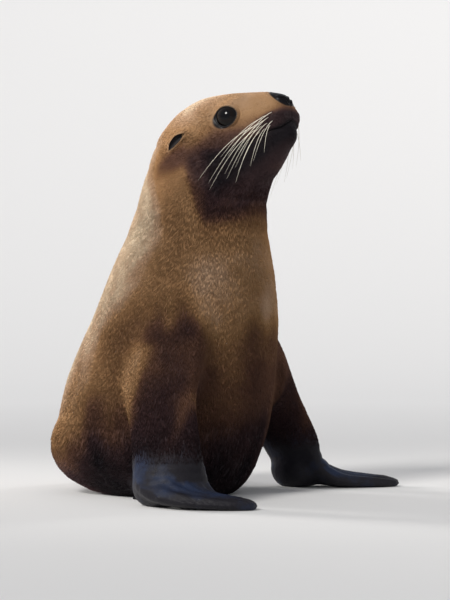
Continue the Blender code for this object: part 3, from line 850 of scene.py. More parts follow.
rise = FINGER_RISE * ridges - WRIST_FOLD * relaxed(wrist_folds(), 1)
raise_skin(rise)
skin_points[:, 2] = np.maximum(skin_points[:, 2], 0.0)
write_points(skin_mesh, skin_points)
print("fingers and folds in mm:", np.round([rise.min() * 1000, rise.max() * 1000], 1))

# %% [markdown]
# ## Markings
#
# The coat is darkest on the jaw, throat, belly and feet, brown on the cheeks, flanks and lower
# chest, and pale tan on the crown, nape, back and upper chest. Part of this is painted light: the
# cream along the top of the head, nape and back is partly painted rim light, and the near-black of
# the jaw, throat and lower belly is partly painted shade over the animal's own darker underside. A
# painted shade darkens the shoulder, and a painted light brightens the front of the chest. One
# number says how pale each place is, from 0 for near-black to 1 for cream. The skin and every tuft
# of fur carry that number, so both are the same colour wherever they meet. It is worked out from
# the place on the body alone.
#
# A marking is a pair of numbers, from where it starts to where it is full, or a table of
# paleness at a few heights. A noise, called patch, moves the edges a little: what is named by
# patch says how far.

# %% Where the back and the chest are
# The trunk at a few heights: height, then its back and its front, measured forward from the seat.
TRUNK = (
    (0.0, -0.150, 0.140), (0.065, -0.176, 0.165), (0.125, -0.175, 0.183), (0.20, -0.150, 0.194),
    (0.28, -0.110, 0.199), (0.35, -0.077, 0.195), (0.41, -0.049, 0.189), (0.52, -0.011, 0.212),
)

def trunk_place(points):
    """From -1 at the back to 1 at the chest, at each point's own height."""
    heights, backs, fronts = zip(*TRUNK)
    back, front = (np.interp(points[:, 2], heights, places) for places in (backs, fronts))
    return (2 * (seat.y - points[:, 1]) - back - front) / (front - back)

def from_table(place, pairs):
    """A value that changes with the place, between the pairs of a table."""
    return np.interp(place, *zip(*pairs))

print("trunk depth in mm:", round((TRUNK[4][2] - TRUNK[4][1]) * 1000), "at half its height")

# %% The markings of the trunk
# The back grows paler upwards to near-cream: partly the animal's tan back, partly painted rim
# light.
BACK = ((0.02, 0.16), (0.06, 0.46), (0.11, 0.66), (0.20, 0.80), (0.32, 0.87))
FLANK = ((0.06, 0.00), (0.12, 0.28), (0.155, 0.36), (0.19, 0.58), (0.27, 0.53), (0.33, 0.69))
# The near-black low on the chest and belly is partly the animal's darker underside, partly painted
# shade under the body.
CHEST = (
    (0.05, 0.02), (0.09, 0.20), (0.14, 0.37), (0.20, 0.38), (0.25, 0.46), (0.29, 0.73),
    (0.37, 0.74), (0.42, 0.58),
)
FLANK_STARTS = ((0.27, -0.46), (0.33, -0.38))
FLANK_SOFTNESS = ((0.27, 0.34), (0.33, 0.48))
CHEST_STARTS = (0.40, 0.72)
# A painted shade on the shoulder and a painted light on the front of the chest stand for the
# shading of the muscles.
SHOULDER_ALONG, SHOULDER_HEIGHT = (0.46, 0.18), (0.262, 0.062)  # middle and width
SHOULDER_PAINTED_SHADE = 0.30
BREAST_ALONG, BREAST_BOTTOM, BREAST_TOP = (0.90, 1.0), (0.26, 0.33), (0.47, 0.43)
BREAST_PAINTED_LIGHT = 0.08
HEIGHT_BY_PATCH, ALONG_BY_PATCH = 0.03, 0.25

def bell_at(place, middle_and_width):
    return bell(place - middle_and_width[0], middle_and_width[1])

def trunk_paleness(points, patch):
    height = points[:, 2] + HEIGHT_BY_PATCH * patch
    back, flank, chest = (from_table(height, table) for table in (BACK, FLANK, CHEST))
    along = trunk_place(points) + ALONG_BY_PATCH * patch
    starts = from_table(height, FLANK_STARTS)
    to_flank = fade(along, starts, starts + from_table(height, FLANK_SOFTNESS))
    to_chest = fade(along, *CHEST_STARTS)
    trunk = (back * (1 - to_flank) + flank * to_flank) * (1 - to_chest) + chest * to_chest
    # Painted shade on the shoulder, painted light on the front of the chest.
    shoulder = bell_at(along, SHOULDER_ALONG) * bell_at(height, SHOULDER_HEIGHT)
    breast = fade(along, *BREAST_ALONG) * fade(height, *BREAST_BOTTOM) * fade(height, *BREAST_TOP)
    return trunk - SHOULDER_PAINTED_SHADE * shoulder + BREAST_PAINTED_LIGHT * breast

even = trunk_paleness(skin_points, 0)
print("trunk:", round(even[on_parts("abdomen", "chest") > 0].mean(), 2), "pale on average")

# %% How dark the jaw is
# The near-black of the lower jaw is partly the animal's dark underside, partly painted shade under
# the head.
JAW_TOP = ((0.0, 0.022), (0.03, 0.020), (CORNER_FORWARD, 0.005), (LIPS_FRONT, 0.0))
JAW_SOFTER_BEHIND = (0.080, 0.005)
JAW_EDGE = ((0.004, 0.012), (-0.006, -0.014))  # in front, and how much more behind
JAW_START, JAW_SLANT = (0.032, 0.060), 0.25

def jaw_darkness(forward, above, moved):
    softer = fade(forward, *JAW_SOFTER_BEHIND)
    start, end = (front + more * softer for front, more in JAW_EDGE)
    jaw = fade(above - from_table(forward, JAW_TOP), start, end)
    return jaw * fade(forward + moved - JAW_SLANT * np.minimum(above, 0), *JAW_START)

corner = float(jaw_darkness(CORNER_FORWARD, 0, 0))
print("darkness of the jaw at the mouth's corner:", round(corner, 2))

# %% The markings of the head
# The crown grows paler upwards and the nape is near-cream: partly the animal's tan, partly painted
# rim light.
CROWN = (
    (-0.050, 0.38), (-0.022, 0.34), (-0.010, 0.50), (0.008, 0.70), (0.030, 0.77), (0.050, 0.84),
)
MUZZLE_LIFT = 0.25  # how fast the crown's colour comes lower in front of the eyes
MUZZLE_LIFT_ENDS = 0.055
NAPE_START, NAPE_PALENESS = (-0.020, -0.080), 0.88
NECK_START, NECK_UNDER, NECK_PALENESS = (0.014, -0.004), (-0.032, -0.055), 0.70
CHEEK_START, CHEEK_UNDER, CHEEK_PALENESS = (0.004, 0.024), (-0.018, -0.042), 0.24
MUZZLE_START, MUZZLE_UNDER, MUZZLE_PALENESS = (0.112, 0.150), (-0.010, -0.023), 0.16
HEAD_BY_PATCH = {"crown": 0.016, "nape": 0.02, "neck": 0.010, "jaw_top": 0.008, "jaw_start": 0.012}

def towards(value, target, share):
    return value + (target - value) * share

def head_paleness(points, patch):
    places = in_head(points)
    forward, _, up = places.T
    moved = {name: reach * patch for name, reach in HEAD_BY_PATCH.items()}
    lift = MUZZLE_LIFT * np.clip(forward - EYES_FORWARD, 0, MUZZLE_LIFT_ENDS)
    edge = forward + moved["neck"]
    nape = fade(forward + moved["nape"], *NAPE_START)
    neck = fade(edge, *NECK_START) * fade(up, *NECK_UNDER)
    muzzle = fade(forward, *MUZZLE_START) * fade(up, *MUZZLE_UNDER)
    jaw = jaw_darkness(forward, above_mouth(places) + moved["jaw_top"], moved["jaw_start"])
    head = towards(from_table(up + lift + moved["crown"], CROWN), NAPE_PALENESS, nape)
    head = head + (NECK_PALENESS - head) * neck * (1 - nape)
    head = towards(head, CHEEK_PALENESS, fade(edge, *CHEEK_START) * fade(up, *CHEEK_UNDER))
    return (head * (1 - muzzle) + MUZZLE_PALENESS * muzzle) * (1 - jaw)

even = head_paleness(skin_points, 0)
print("head:", round(even[on_parts("head") > 0].mean(), 2), "pale on average")

# %% All markings together
STRETCH = (1, 1, 0.45)  # the patches are longer from top to bottom
# The dark throat is partly the animal's darker underside, partly painted shade under the head.
THROAT_START, THROAT_UNDER, THROAT_PALENESS = (-0.002, 0.020), (-0.152, -0.124), 0.20
THROAT_BY_PATCH = 0.012
PATCHES_ON_TRUNK, PATCHES_ON_HEAD = 0.10, 0.04
PATCH_NOISES = ((0.7, 34, 2.0), (0.3, 80, 0.7))
HEAD_SLANT, HEAD_BOTTOM = 0.35, (-0.130, -0.105)

def paleness(points):
    """The markings of the coat, with painted rim light and painted shade in them, from 0,
    near-black, to 1, cream.
    """
    patch = waver(np.asarray(points) * STRETCH, *PATCH_NOISES)
    forward, _, up = in_head(points).T
    trunk = trunk_paleness(points, patch) + PATCHES_ON_TRUNK * patch
    moved = THROAT_BY_PATCH * patch
    throat = fade(forward + moved, *THROAT_START) * fade(up + moved, *THROAT_UNDER)
    trunk = towards(trunk, THROAT_PALENESS, throat)
    on_head_share = fade(up - HEAD_SLANT * forward, *HEAD_BOTTOM)
    head = head_paleness(points, patch) + PATCHES_ON_HEAD * patch
    return np.clip(trunk * (1 - on_head_share) + head * on_head_share, 0, 1)

skin_points = read_points(skin_mesh)
tone = paleness(skin_points)
print("paleness:", round(tone.min(), 2), "to", round(tone.max(), 2))

# %% [markdown]
# The arms are dark, paler along their hind edge, on the front of the wrist and on the front of
# the shoulder. They take their own numbers, which run into those of the trunk at the shoulder.

# %% The markings of the arms
ARM = ((0.08, 0.07), (0.13, 0.18), (0.26, 0.32))
HIND_EDGE, HIND_EDGE_ALONG, HIND_EDGE_BOTTOM = 0.44, (0.58, 0.30), (0.09, 0.14)
FRONT_EDGE, FRONT_EDGE_ALONG, FRONT_EDGE_HEIGHT = 0.24, (0.92, 0.08), (0.155, 0.055)
SHOULDER_FRONT, SHOULDER_FRONT_ALONG, SHOULDER_FRONT_BOTTOM = 0.30, (0.92, 1.0), (0.13, 0.20)
ARM_DRIFT = (0.12, 45, 1.7)
ARM_ROUNDS = 8
TONE_ROUNDS = 2

def arm_paleness(points):
    height = points[:, 2]
    along = trunk_place(points) + waver(points, ARM_DRIFT)
    arm = from_table(height, ARM)
    arm = arm + HIND_EDGE * fade(along, *HIND_EDGE_ALONG) * fade(height, *HIND_EDGE_BOTTOM)
    arm = arm + FRONT_EDGE * bell_at(along, FRONT_EDGE_ALONG) * bell_at(height, FRONT_EDGE_HEIGHT)
    front = SHOULDER_FRONT * fade(along, *SHOULDER_FRONT_ALONG)
    return arm + front * fade(height, *SHOULDER_FRONT_BOTTOM)

arms = relaxed(on_limb, ARM_ROUNDS)
tone = tone * (1 - arms) + arm_paleness(skin_points) * arms
tone = relaxed(tone, TONE_ROUNDS)
print("with the arms:", round(tone.min(), 2), "to", round(tone.max(), 2))

# %% [markdown]
# Some places have a colour of their own: the wet black nose, the dark lids, the line of the
# lips, the whisker pits, and the leather of the flippers. Where the flippers face up, the leather
# also gets a painted blue sheen, a painted reflection of the sky.

# %% Darken the nose, lids and lips
DARK_LID = (1.32, 1.12)  # on the scale of round_opening
DARK_LID_REACH = (EYE_RADIUS + 0.014, EYE_RADIUS + 0.005)
LIP_LINE_WIDTH = 0.0016
LIP_LINE_START = (0.062, 0.075)
PIT_DARKENING = 0.55

def written(mesh, name, values):
    layer = mesh.attributes.new(name, "FLOAT", "POINT")
    layer.data.foreach_set("value", np.asarray(values, np.float32))

head_points = in_head(skin_points)
lid_rim = fade(round_opening(eye_places(skin_points)), *DARK_LID)
lid_rim *= fade(beside_eye(head_points), *DARK_LID_REACH)
lip_line = bell(above_mouth(head_points), LIP_LINE_WIDTH)
lip_line = lip_line * fade(head_points[:, 0], *LIP_LINE_START) * on_head
wet = np.clip(np.maximum.reduce([lid_rim, lip_line, nose_pad(head_points) * on_head]), 0, 1)
tone = tone * (1 - PIT_DARKENING * pits)
written(skin_mesh, "paleness", tone)
written(skin_mesh, "bare", np.clip(bare, 0, 1))
written(skin_mesh, "wet", wet)
print("wet share:", round(float(wet.mean()), 3))

# %% Where the leather gets a painted sky sheen
SHEEN_FACES_UP = (0.12, 0.50)
SHEEN_BOTTOM, SHEEN_TOP = (0.010, 0.026), (0.092, 0.062)
SHEEN_FORE, SHEEN_LESS_HIND, SHEEN_LESS = 0.75, 0.60, 0.10

height = skin_points[:, 2]
# The painted sky sheen lies on the upward faces of the flippers.
painted_sheen = fade(read_normals(skin_mesh)[:, 2], *SHEEN_FACES_UP) * fade(height, *SHEEN_BOTTOM)
painted_sheen *= fade(height, *SHEEN_TOP)
written(skin_mesh, "painted_sheen", painted_sheen * (SHEEN_FORE - SHEEN_LESS_HIND * on_hind) - SHEEN_LESS)
print("slate points:", int((painted_sheen > 0.5).sum()))

# %% [markdown]
# ## The finish of skin and fur
#
# Skin and fur have the same small set of nodes, which turns paleness into colour. Noise in two
# sizes moves the number up and down before the colours are looked up, so the edges of the
# markings are broken, as the coat of a living animal is.
#
# First come the helpers that all the finishes share. Every texture reads the object's own
# coordinates, so that it stays where it is on the piece.

# %% Helpers for nodes
def new_material(name):
    material = bpy.data.materials.new(name)
    material.use_nodes = True
    tree = material.node_tree
    return material, tree, tree.nodes["Principled BSDF"]

def node(tree, kind, **settings):
    made = tree.nodes.new(kind)
    for key, value in settings.items():
        setattr(made, key, value)
    return made

def set_inputs(made, values):
    """Gives sockets a number, a colour, or another node's output."""
    for key, value in values.items():
        if isinstance(value, bpy.types.NodeSocket):
            made.id_data.links.new(value, made.inputs[key])
        else:
            made.inputs[key].default_value = value
    return made

print("helpers:", [made.__name__ for made in (new_material, node, set_inputs)])

# %% Helpers for numbers and colours
def sums(tree, operation, first, second):
    """A Math node. Each input is a number or another node's output."""
    made = node(tree, "ShaderNodeMath", operation=operation)
    return set_inputs(made, {0: first, 1: second}).outputs[0]

def blended(tree, share, first, second):
    made = node(tree, "ShaderNodeMix", data_type="RGBA")
    return set_inputs(made, {"Factor": share, "A": first, "B": second}).outputs["Result"]

def carried(tree, name):
    """A number that the piece carries at each of its points."""
    return node(tree, "ShaderNodeAttribute", attribute_name=name).outputs["Fac"]

print("helpers:", [made.__name__ for made in (sums, blended, carried)])

# %% Helpers for textures
EVEN = (1, 1, 1)
CREASE_DEPTH = 0.12

def textured(tree, kind, scale, stretch, **settings):
    place = node(tree, "ShaderNodeTexCoord")
    mapping = node(tree, "ShaderNodeMapping")
    texture = node(tree, kind, **settings)
    set_inputs(mapping, {"Scale": stretch, "Vector": place.outputs["Object"]})
    return set_inputs(texture, {"Scale": scale, "Vector": mapping.outputs["Vector"]})

def noise(tree, scale, detail, stretch=EVEN):
    """Noise from about -0.5 to 0.5."""
    texture = textured(tree, "ShaderNodeTexNoise", scale, stretch)
    texture.inputs["Detail"].default_value = detail
    return sums(tree, "SUBTRACT", texture.outputs[0], 0.5)

def cells(tree, scale):
    """Height of a net of creases: low along the edges of small cells."""
    texture = textured(tree, "ShaderNodeTexVoronoi", scale, EVEN, feature="DISTANCE_TO_EDGE")
    return sums(tree, "MINIMUM", texture.outputs["Distance"], CREASE_DEPTH)

def bump(tree, height, strength, distance, after=None):
    made = node(tree, "ShaderNodeBump")
    set_inputs(made, {"Strength": strength, "Distance": distance, "Height": height})
    return set_inputs(made, {"Normal": after} if after else {}).outputs["Normal"]

def looked_up(tree, share, colours):
    """The colour at a share of the way along a row of colours."""
    ramp = node(tree, "ShaderNodeValToRGB")
    elements = ramp.color_ramp.elements
    while len(elements) < len(colours):
        elements.new(0.5)
    for element, (place, colour) in zip(elements, colours):
        element.position, element.color = place, (*colour, 1)
    return set_inputs(ramp, {"Fac": share}).outputs["Color"]

print("textures:", [made.__name__ for made in (noise, cells, bump, looked_up)])

# %% The coat's colours
COAT_COLOURS = (
    (0.00, (0.007, 0.005, 0.007)),
    (0.20, (0.036, 0.019, 0.020)),
    (0.42, (0.118, 0.058, 0.037)),
    (0.60, (0.250, 0.136, 0.064)),
    (0.72, (0.345, 0.200, 0.098)),
    (0.83, (0.450, 0.300, 0.195)),
    (1.00, (0.720, 0.620, 0.460)),
)
PATCHES, PATCH_SHARE = (22, 2), 0.16  # scale and detail of the noise, and how far it moves paleness
FLECKS, FLECK_SHARE = (240, 3), 0.04

def coat_colour(tree):
    """The output that gives the coat's colour from the paleness of its place."""
    pale = carried(tree, "paleness")
    broad = sums(tree, "MULTIPLY", noise(tree, *PATCHES), PATCH_SHARE)
    fine = sums(tree, "MULTIPLY", noise(tree, *FLECKS), FLECK_SHARE)
    mixed = sums(tree, "ADD", sums(tree, "ADD", pale, broad), fine)
    return looked_up(tree, mixed, COAT_COLOURS)

print("colours from near-black to cream:", len(COAT_COLOURS))

# %% [markdown]
# The skin's material blends three finishes by the numbers it carries: fur ground on the body,
# leather on the flippers, and wet black skin on nose, lids and lips. Leather has a net of fine
# creases, from the edges of small cells, over longer wrinkles. Wet skin and leather are smoother
# than the ground of the fur.

# %% The skin's finish
LEATHER = (0.013, 0.012, 0.016, 1)
# The blue is a painted sheen: a painted reflection of the sky on the flippers' upward faces.
SKY_SHEEN_BLUE = (0.018, 0.027, 0.057, 1)
WET_BLACK = (0.004, 0.003, 0.004, 1)
MOTTLE, MOTTLE_SHARE = (26, 4), 3.4
ROUGH, LEATHER_SMOOTHER, WET_SMOOTHER, SMOOTHEST = 0.66, 0.20, 0.30, 0.24
SKIN_SPECULAR = 0.16
CREASES, CREASES_UNDER_FUR, CREASE_BUMP = 330, 0.10, (0.30, 0.003)  # bumps: strength and height
WRINKLES, WRINKLE_BUMP = (110, 4), (0.40, 0.003)
HAIRS, HAIR_BUMP = (420, 2, (1, 1, 0.25)), (0.20, 0.0012)

def skin_finish():
    material, tree, shader = new_material("sea_lion_skin")
    bare_share, wet_share, sheen_share = (carried(tree, name) for name in ("bare", "wet", "painted_sheen"))
    mottle = sums(tree, "MULTIPLY", noise(tree, *MOTTLE), MOTTLE_SHARE)
    # The leather turns to the painted blue sky sheen where the flippers face up.
    leather = blended(tree, sums(tree, "ADD", mottle, sheen_share), LEATHER, SKY_SHEEN_BLUE)
    colour = blended(tree, bare_share, coat_colour(tree), leather)
    colour = blended(tree, wet_share, colour, WET_BLACK)
    rough = sums(tree, "SUBTRACT", ROUGH, sums(tree, "MULTIPLY", bare_share, LEATHER_SMOOTHER))
    rough = sums(tree, "SUBTRACT", rough, sums(tree, "MULTIPLY", wet_share, WET_SMOOTHER))
    rough = sums(tree, "MAXIMUM", rough, SMOOTHEST)
    creases = cells(tree, CREASES)
    creases = sums(tree, "MULTIPLY", creases, sums(tree, "ADD", bare_share, CREASES_UNDER_FUR))
    wrinkles = sums(tree, "MULTIPLY", noise(tree, *WRINKLES), bare_share)
    normal = bump(tree, creases, *CREASE_BUMP)
    normal = bump(tree, wrinkles, *WRINKLE_BUMP, normal)
    normal = bump(tree, noise(tree, *HAIRS), *HAIR_BUMP, normal)
    set_inputs(shader, {
        "Base Color": colour, "Roughness": rough, "Specular IOR Level": SKIN_SPECULAR,
        "Normal": normal,
    })
    return material

skin_material = skin_finish()
print("nodes in the skin's finish:", len(skin_material.node_tree.nodes))

# %% Dress the skin
skin = linked(skin_mesh, "skin")
skin_mesh.materials.clear()
skin_mesh.materials.append(skin_material)
skin_mesh.shade_smooth()
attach(skin, "root")
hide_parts(*[name for name in flesh if not name.startswith("eye")])
print("skin triangles:", sum(len(p.vertices) - 2 for p in skin_mesh.polygons))

# %% [markdown]
# ## Eyes
#
# The eye of a sea lion looks black, with a very dark brown iris that shows only in strong light.
# A plain round ball is right, as long as it is smooth and wet. The iris and pupil are rings round
# the way the eye looks.

# %% Make the eyeballs
EYE_SEGMENTS = 64
LOOK = Vector((0.28, 1.0, 0.10)).normalized()  # forward, outward, up
RIGHT_ANGLE = 90

def side_word(side):
    return "left" if side > 0 else "right"

def eyeball(side):
    centre = middle("eye_" + side_word(side))
    bm = bmesh.new()
    bmesh.ops.create_uvsphere(
        bm, u_segments=EYE_SEGMENTS, v_segments=EYE_SEGMENTS // 2, radius=EYE_RADIUS
    )
    look = muzzle_way * LOOK.x + left_way * side * LOOK.y + crown_way * LOOK.z
    bmesh.ops.rotate(bm, verts=bm.verts, matrix=look.to_track_quat("Z", "Y").to_matrix())
    bmesh.ops.translate(bm, verts=bm.verts, vec=centre)
    mesh = mesh_of(bm, "eyeball_" + side_word(side))
    turned = (read_points(mesh) - np.array(centre)) @ np.array(look) / EYE_RADIUS
    off_axis = np.degrees(np.arccos(np.clip(turned, -1, 1)))
    written(mesh, "off_axis", off_axis / RIGHT_ANGLE)
    mesh.shade_smooth()
    piece = linked(mesh, mesh.name)
    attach(piece, "root")
    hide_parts("eye_" + side_word(side))
    return piece

eyeballs = [eyeball(side) for side in (1, -1)]
print("eyeball faces:", [len(piece.data.polygons) for piece in eyeballs])

# %% The eyes' finish
EYE_RINGS = (  # place off the eye's axis, where 1 is a right angle, and colour
    (0.0, (0.002, 0.002, 0.003)),
    (0.24, (0.002, 0.002, 0.003)),
    (0.28, (0.005, 0.002, 0.001)),
    (0.42, (0.004, 0.002, 0.001)),
    (0.52, (0.001, 0.001, 0.001)),
)
WATER_IOR = 1.36

wet_eye, tree, shader = new_material("wet_eye")
set_inputs(shader, {
    "Base Color": looked_up(tree, carried(tree, "off_axis"), EYE_RINGS), "Roughness": 0.05,
    "IOR": WATER_IOR, "Specular IOR Level": 0.40,
})
for piece in eyeballs:
    piece.data.materials.append(wet_eye)
print("rings:", len(EYE_RINGS))

# %% [markdown]
# ## Ears
#
# What sets a sea lion apart from a true seal is its ear: a leaf of skin, rolled into a little
# cone, that hangs back along the head. One bow of points is drawn along a bent line, widest at the
# middle and narrow at the tip, with a gap that leaves the cone open. The sheet is then given its
# thickness, so that there is a true hollow with a pale rim. The inside is painted near-black, a
# painted shade of the hollow.

# %% Where the ears run
EAR_LINE = ((0.018, 0.0580, 0.008), (0.003, 0.0765, 0.004), (-0.015, 0.0770, -0.012))
EAR_SHARES = (0, 0.2, 0.35, 0.5, 0.75, 0.9, 1)
EAR_WIDTHS = (0.0046, 0.0062, 0.0072, 0.0077, 0.0066, 0.0044, 0.0015)  # half, from root to tip
EAR_GAPS = (8, 24, 80, 112, 105, 70, 12)  # degrees left open, from root to tip
EAR_OPENS = (0.50, -0.10)  # the way the gap faces: forward and up, for 1 outward
EAR_FLATNESS = 0.62
EAR_RINGS = 12
EAR_POINTS = 14
SHORT_WAY = 0.02  # a share of the ear, to see which way it runs

def bent_line(points, share):
    """A point on the curve that starts and ends at the outer points and leans to the middle one."""
    first, second, third = (Vector(point) for point in points)
    return first * (1 - share) ** 2 + second * 2 * share * (1 - share) + third * share**2

def ear_place(side, share):
    place = bent_line(EAR_LINE, share)
    return from_head(place.x, side * place.y, place.z)

def ear_bow(side, share):
    """The points of one bow, from one edge of the gap round to the other."""
    place = ear_place(side, share)
    along = (ear_place(side, share + SHORT_WAY) - place).normalized()
    opens = (left_way * side + muzzle_way * EAR_OPENS[0] + crown_way * EAR_OPENS[1]).normalized()
    opens = (opens - along * opens.dot(along)).normalized()
    across = along.cross(opens)
    width = float(np.interp(share, EAR_SHARES, EAR_WIDTHS))
    gap = math.radians(float(np.interp(share, EAR_SHARES, EAR_GAPS)))
    turns = (gap / 2 + (math.tau - gap) * step / (EAR_POINTS - 1) for step in range(EAR_POINTS))
    return [
        place + (opens * math.cos(turn) * EAR_FLATNESS + across * math.sin(turn)) * width
        for turn in turns
    ]

print("ear length in mm:", round((ear_place(1, 1) - ear_place(1, 0)).length * 1000))

# %% Roll one ear
EAR_THICKNESS = 0.0016

def rolled_sheet(side):
    """The open cone, before it has a thickness."""
    bm = bmesh.new()
    chain = [bm.verts.new(point) for point in ear_bow(side, 0)]
    for pair in zip(chain, chain[1:]):
        bm.edges.new(pair)
    for ring in range(1, EAR_RINGS + 1):
        edges = [bm.edges.get(pair) for pair in zip(chain, chain[1:])]
        made = bmesh.ops.extrude_edge_only(bm, edges=edges)["geom"]
        fresh = {v for v in made if isinstance(v, bmesh.types.BMVert)}
        chain = [
            next(edge.other_vert(v) for edge in v.link_edges if edge.other_vert(v) in fresh)
            for v in chain
        ]
        for vert, point in zip(chain, ear_bow(side, ring / EAR_RINGS)):
            vert.co = point
    bmesh.ops.recalc_face_normals(bm, faces=bm.faces)
    return bm

def thickened(bm, side):
    """Gives the sheet its thickness, and says which points are inside the cone."""
    sheet = len(bm.verts)
    bmesh.ops.solidify(bm, geom=list(bm.faces), thickness=EAR_THICKNESS)
    bm.verts.index_update()
    line = np.array([ear_place(side, share) for share in np.linspace(0, 1, EAR_RINGS + 1)])
    off_line = np.array([np.linalg.norm(line - np.array(v.co), axis=1).min() for v in bm.verts])
    first_inside = off_line[:sheet].mean() < off_line[sheet:].mean()
    bmesh.ops.recalc_face_normals(bm, faces=bm.faces)
    return (np.arange(len(bm.verts)) < sheet) == first_inside

print("points in one sheet:", (EAR_RINGS + 1) * EAR_POINTS)

# %% Make both ears
# The inside of each ear is painted near-black, a painted shade of the hollow.
EAR_WET_INSIDE = 0.5
EAR_PAINTED_SHADE_INSIDE, EAR_PALE_OUTSIDE = 0.02, 0.74
EAR_ROUNDING = 2

def ear_leaf(side, finish):
    bm = rolled_sheet(side)
    inner = thickened(bm, side)
    mesh = mesh_of(bm, "ear_leaf_" + side_word(side))
    written(mesh, "wet", inner * EAR_WET_INSIDE)
    written(mesh, "bare", np.zeros(len(inner)))
    written(mesh, "paleness", np.where(inner, EAR_PAINTED_SHADE_INSIDE, EAR_PALE_OUTSIDE))
    mesh.materials.append(finish)
    mesh.shade_smooth()
    piece = linked(unwrapped(mesh), mesh.name)
    rounder = piece.modifiers.new("rounder", "SUBSURF")
    rounder.levels = rounder.render_levels = EAR_ROUNDING
    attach(piece, "root")
    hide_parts("ear_" + side_word(side))
    return piece

ears = [ear_leaf(side, skin_material) for side in (1, -1)]
print("ear faces:", [len(piece.data.polygons) for piece in ears])

# %% [markdown]
# ## Whiskers
#
# The whiskers are stiff, cream-coloured and smooth. Each is a ring of six points, extruded step
# by step along a slight curve that leaves the pad outwards and then sweeps back and down, and
# drawn in to a point. The front ones are short and hang down, the hind ones are long.

# %% Where the whiskers run
WHISKER_LENGTH = 0.90
LENGTH_SPREAD = 0.06
TIP_SPREAD = 0.006
WHISKER_BOW = Vector((0.03, 0.10, 0.06))
WHISKER_STEPS = 14
WHISKER_ROOT_DEPTH = 0.0015
random = np.random.default_rng(7)

def whisker_line(root, side, reach):
    """Places along one whisker, from inside the pad to the tip."""
    reach = reach * (WHISKER_LENGTH + LENGTH_SPREAD * random.uniform(-1, 1))
    reach.z += TIP_SPREAD * random.uniform(-1, 1)
    bow = WHISKER_BOW * reach.length
    forward, left, up = in_head([root])[0]
    line = []
    for step in range(WHISKER_STEPS + 1):
        share = step / WHISKER_STEPS
        way = reach * share + bow * 4 * share * (1 - share) * (1 - 0.5 * share)
        way.y -= WHISKER_ROOT_DEPTH * (step == 0)
        line.append(from_head(forward + way.x, left + side * way.y, up + way.z))
    return line

print("longest whisker in mm:", round(max(reach.length for *_, reach in roots) * 1000))

# %% Grow one whisker
WHISKER_RADIUS = 0.00042
WHISKER_POINT = 0.00007
WHISKER_TAPER = 0.7  # 1 is an even taper, and less keeps it thick for longer
WHISKER_SIDES = 6

def add_whisker(bm, root, side, reach):
    line = whisker_line(root, side, reach)
    turn = (line[1] - line[0]).to_track_quat("Z", "Y").to_matrix().to_4x4()
    ring = bmesh.ops.create_circle(
        bm, cap_ends=True, segments=WHISKER_SIDES, radius=WHISKER_RADIUS,
        matrix=Matrix.Translation(line[0]) @ turn,
    )["verts"]
    radius = WHISKER_RADIUS
    for step, (before, place) in enumerate(zip(line, line[1:]), 1):
        edges = list({e for v in ring for e in v.link_edges if e.other_vert(v) in ring})
        made = bmesh.ops.extrude_edge_only(bm, edges=edges)["geom"]
        ring = [g for g in made if isinstance(g, bmesh.types.BMVert)]
        slimmer = WHISKER_RADIUS * (1 - step / WHISKER_STEPS) ** WHISKER_TAPER + WHISKER_POINT
        bmesh.ops.translate(bm, verts=ring, vec=place - before)
        bmesh.ops.scale(
            bm, verts=ring, vec=(slimmer / radius,) * 3, space=Matrix.Translation(-place)
        )
        radius = slimmer
    bm.faces.new(ring)

print("faces of one whisker:", WHISKER_SIDES * WHISKER_STEPS + 2)

# %% Grow all the whiskers
CREAMS = ((0.88, 0.80, 0.62, 1), (0.95, 0.91, 0.80, 1))
TINT_PATCHES = (60, 2)

def whiskers():
    bm = bmesh.new()
    for index, side, reach in roots:
        add_whisker(bm, skin_points[index], side, reach)
    bmesh.ops.recalc_face_normals(bm, faces=bm.faces)
    mesh = mesh_of(bm, "whiskers")
    mesh.shade_smooth()
    return mesh

def whisker_finish():
    material, tree, shader = new_material("whisker")
    share = sums(tree, "ADD", noise(tree, *TINT_PATCHES), 0.5)
    set_inputs(shader, {"Base Color": blended(tree, share, *CREAMS), "Roughness": 0.35})
    return material

whisker_piece = linked(whiskers(), "whiskers")
whisker_piece.data.materials.append(whisker_finish())
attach(whisker_piece, "root")
print("whisker faces:", len(whisker_piece.data.polygons))

# %% [markdown]
# ## Claws
#
# The claws of the hind feet keep their solids. They only get the finish of dark horn, mottled
# with a paler one in fine lines along them.

# %% Finish the claws
HORNS = ((0.045, 0.034, 0.028, 1), (0.13, 0.10, 0.08, 1))
HORN_LINES = (500, 3, (0.3, 1, 1))  # scale, detail and stretch
HORN_BUMP = (0.2, 0.0004)

def horn_finish():
    material, tree, shader = new_material("horn")
    grain = sums(tree, "ADD", noise(tree, *HORN_LINES), 0.5)
    set_inputs(shader, {
        "Base Color": blended(tree, grain, *HORNS), "Normal": bump(tree, grain, *HORN_BUMP),
        "Roughness": 0.38,
    })
    return material

horn = horn_finish()
claws = [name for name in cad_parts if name.startswith("claw")]
for name in claws:
    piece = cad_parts[name]
    piece.data.materials.clear()
    piece.data.materials.append(horn)
print("claws:", len(claws))

# %% [markdown]
# ## The coat
#
# The fur is short and lies flat. Each tuft is a slim closed spike with four faces, rooted just
# under the skin and leaning back along the body, and the tufts overlap like thatch. Hundreds of
# thousands of them are one array of numbers for each part of the body.
#
# First comes the lie of the coat: away from the nose over the head, down the neck and trunk, down
# the arms to the wrists, and back towards the tail under the body.

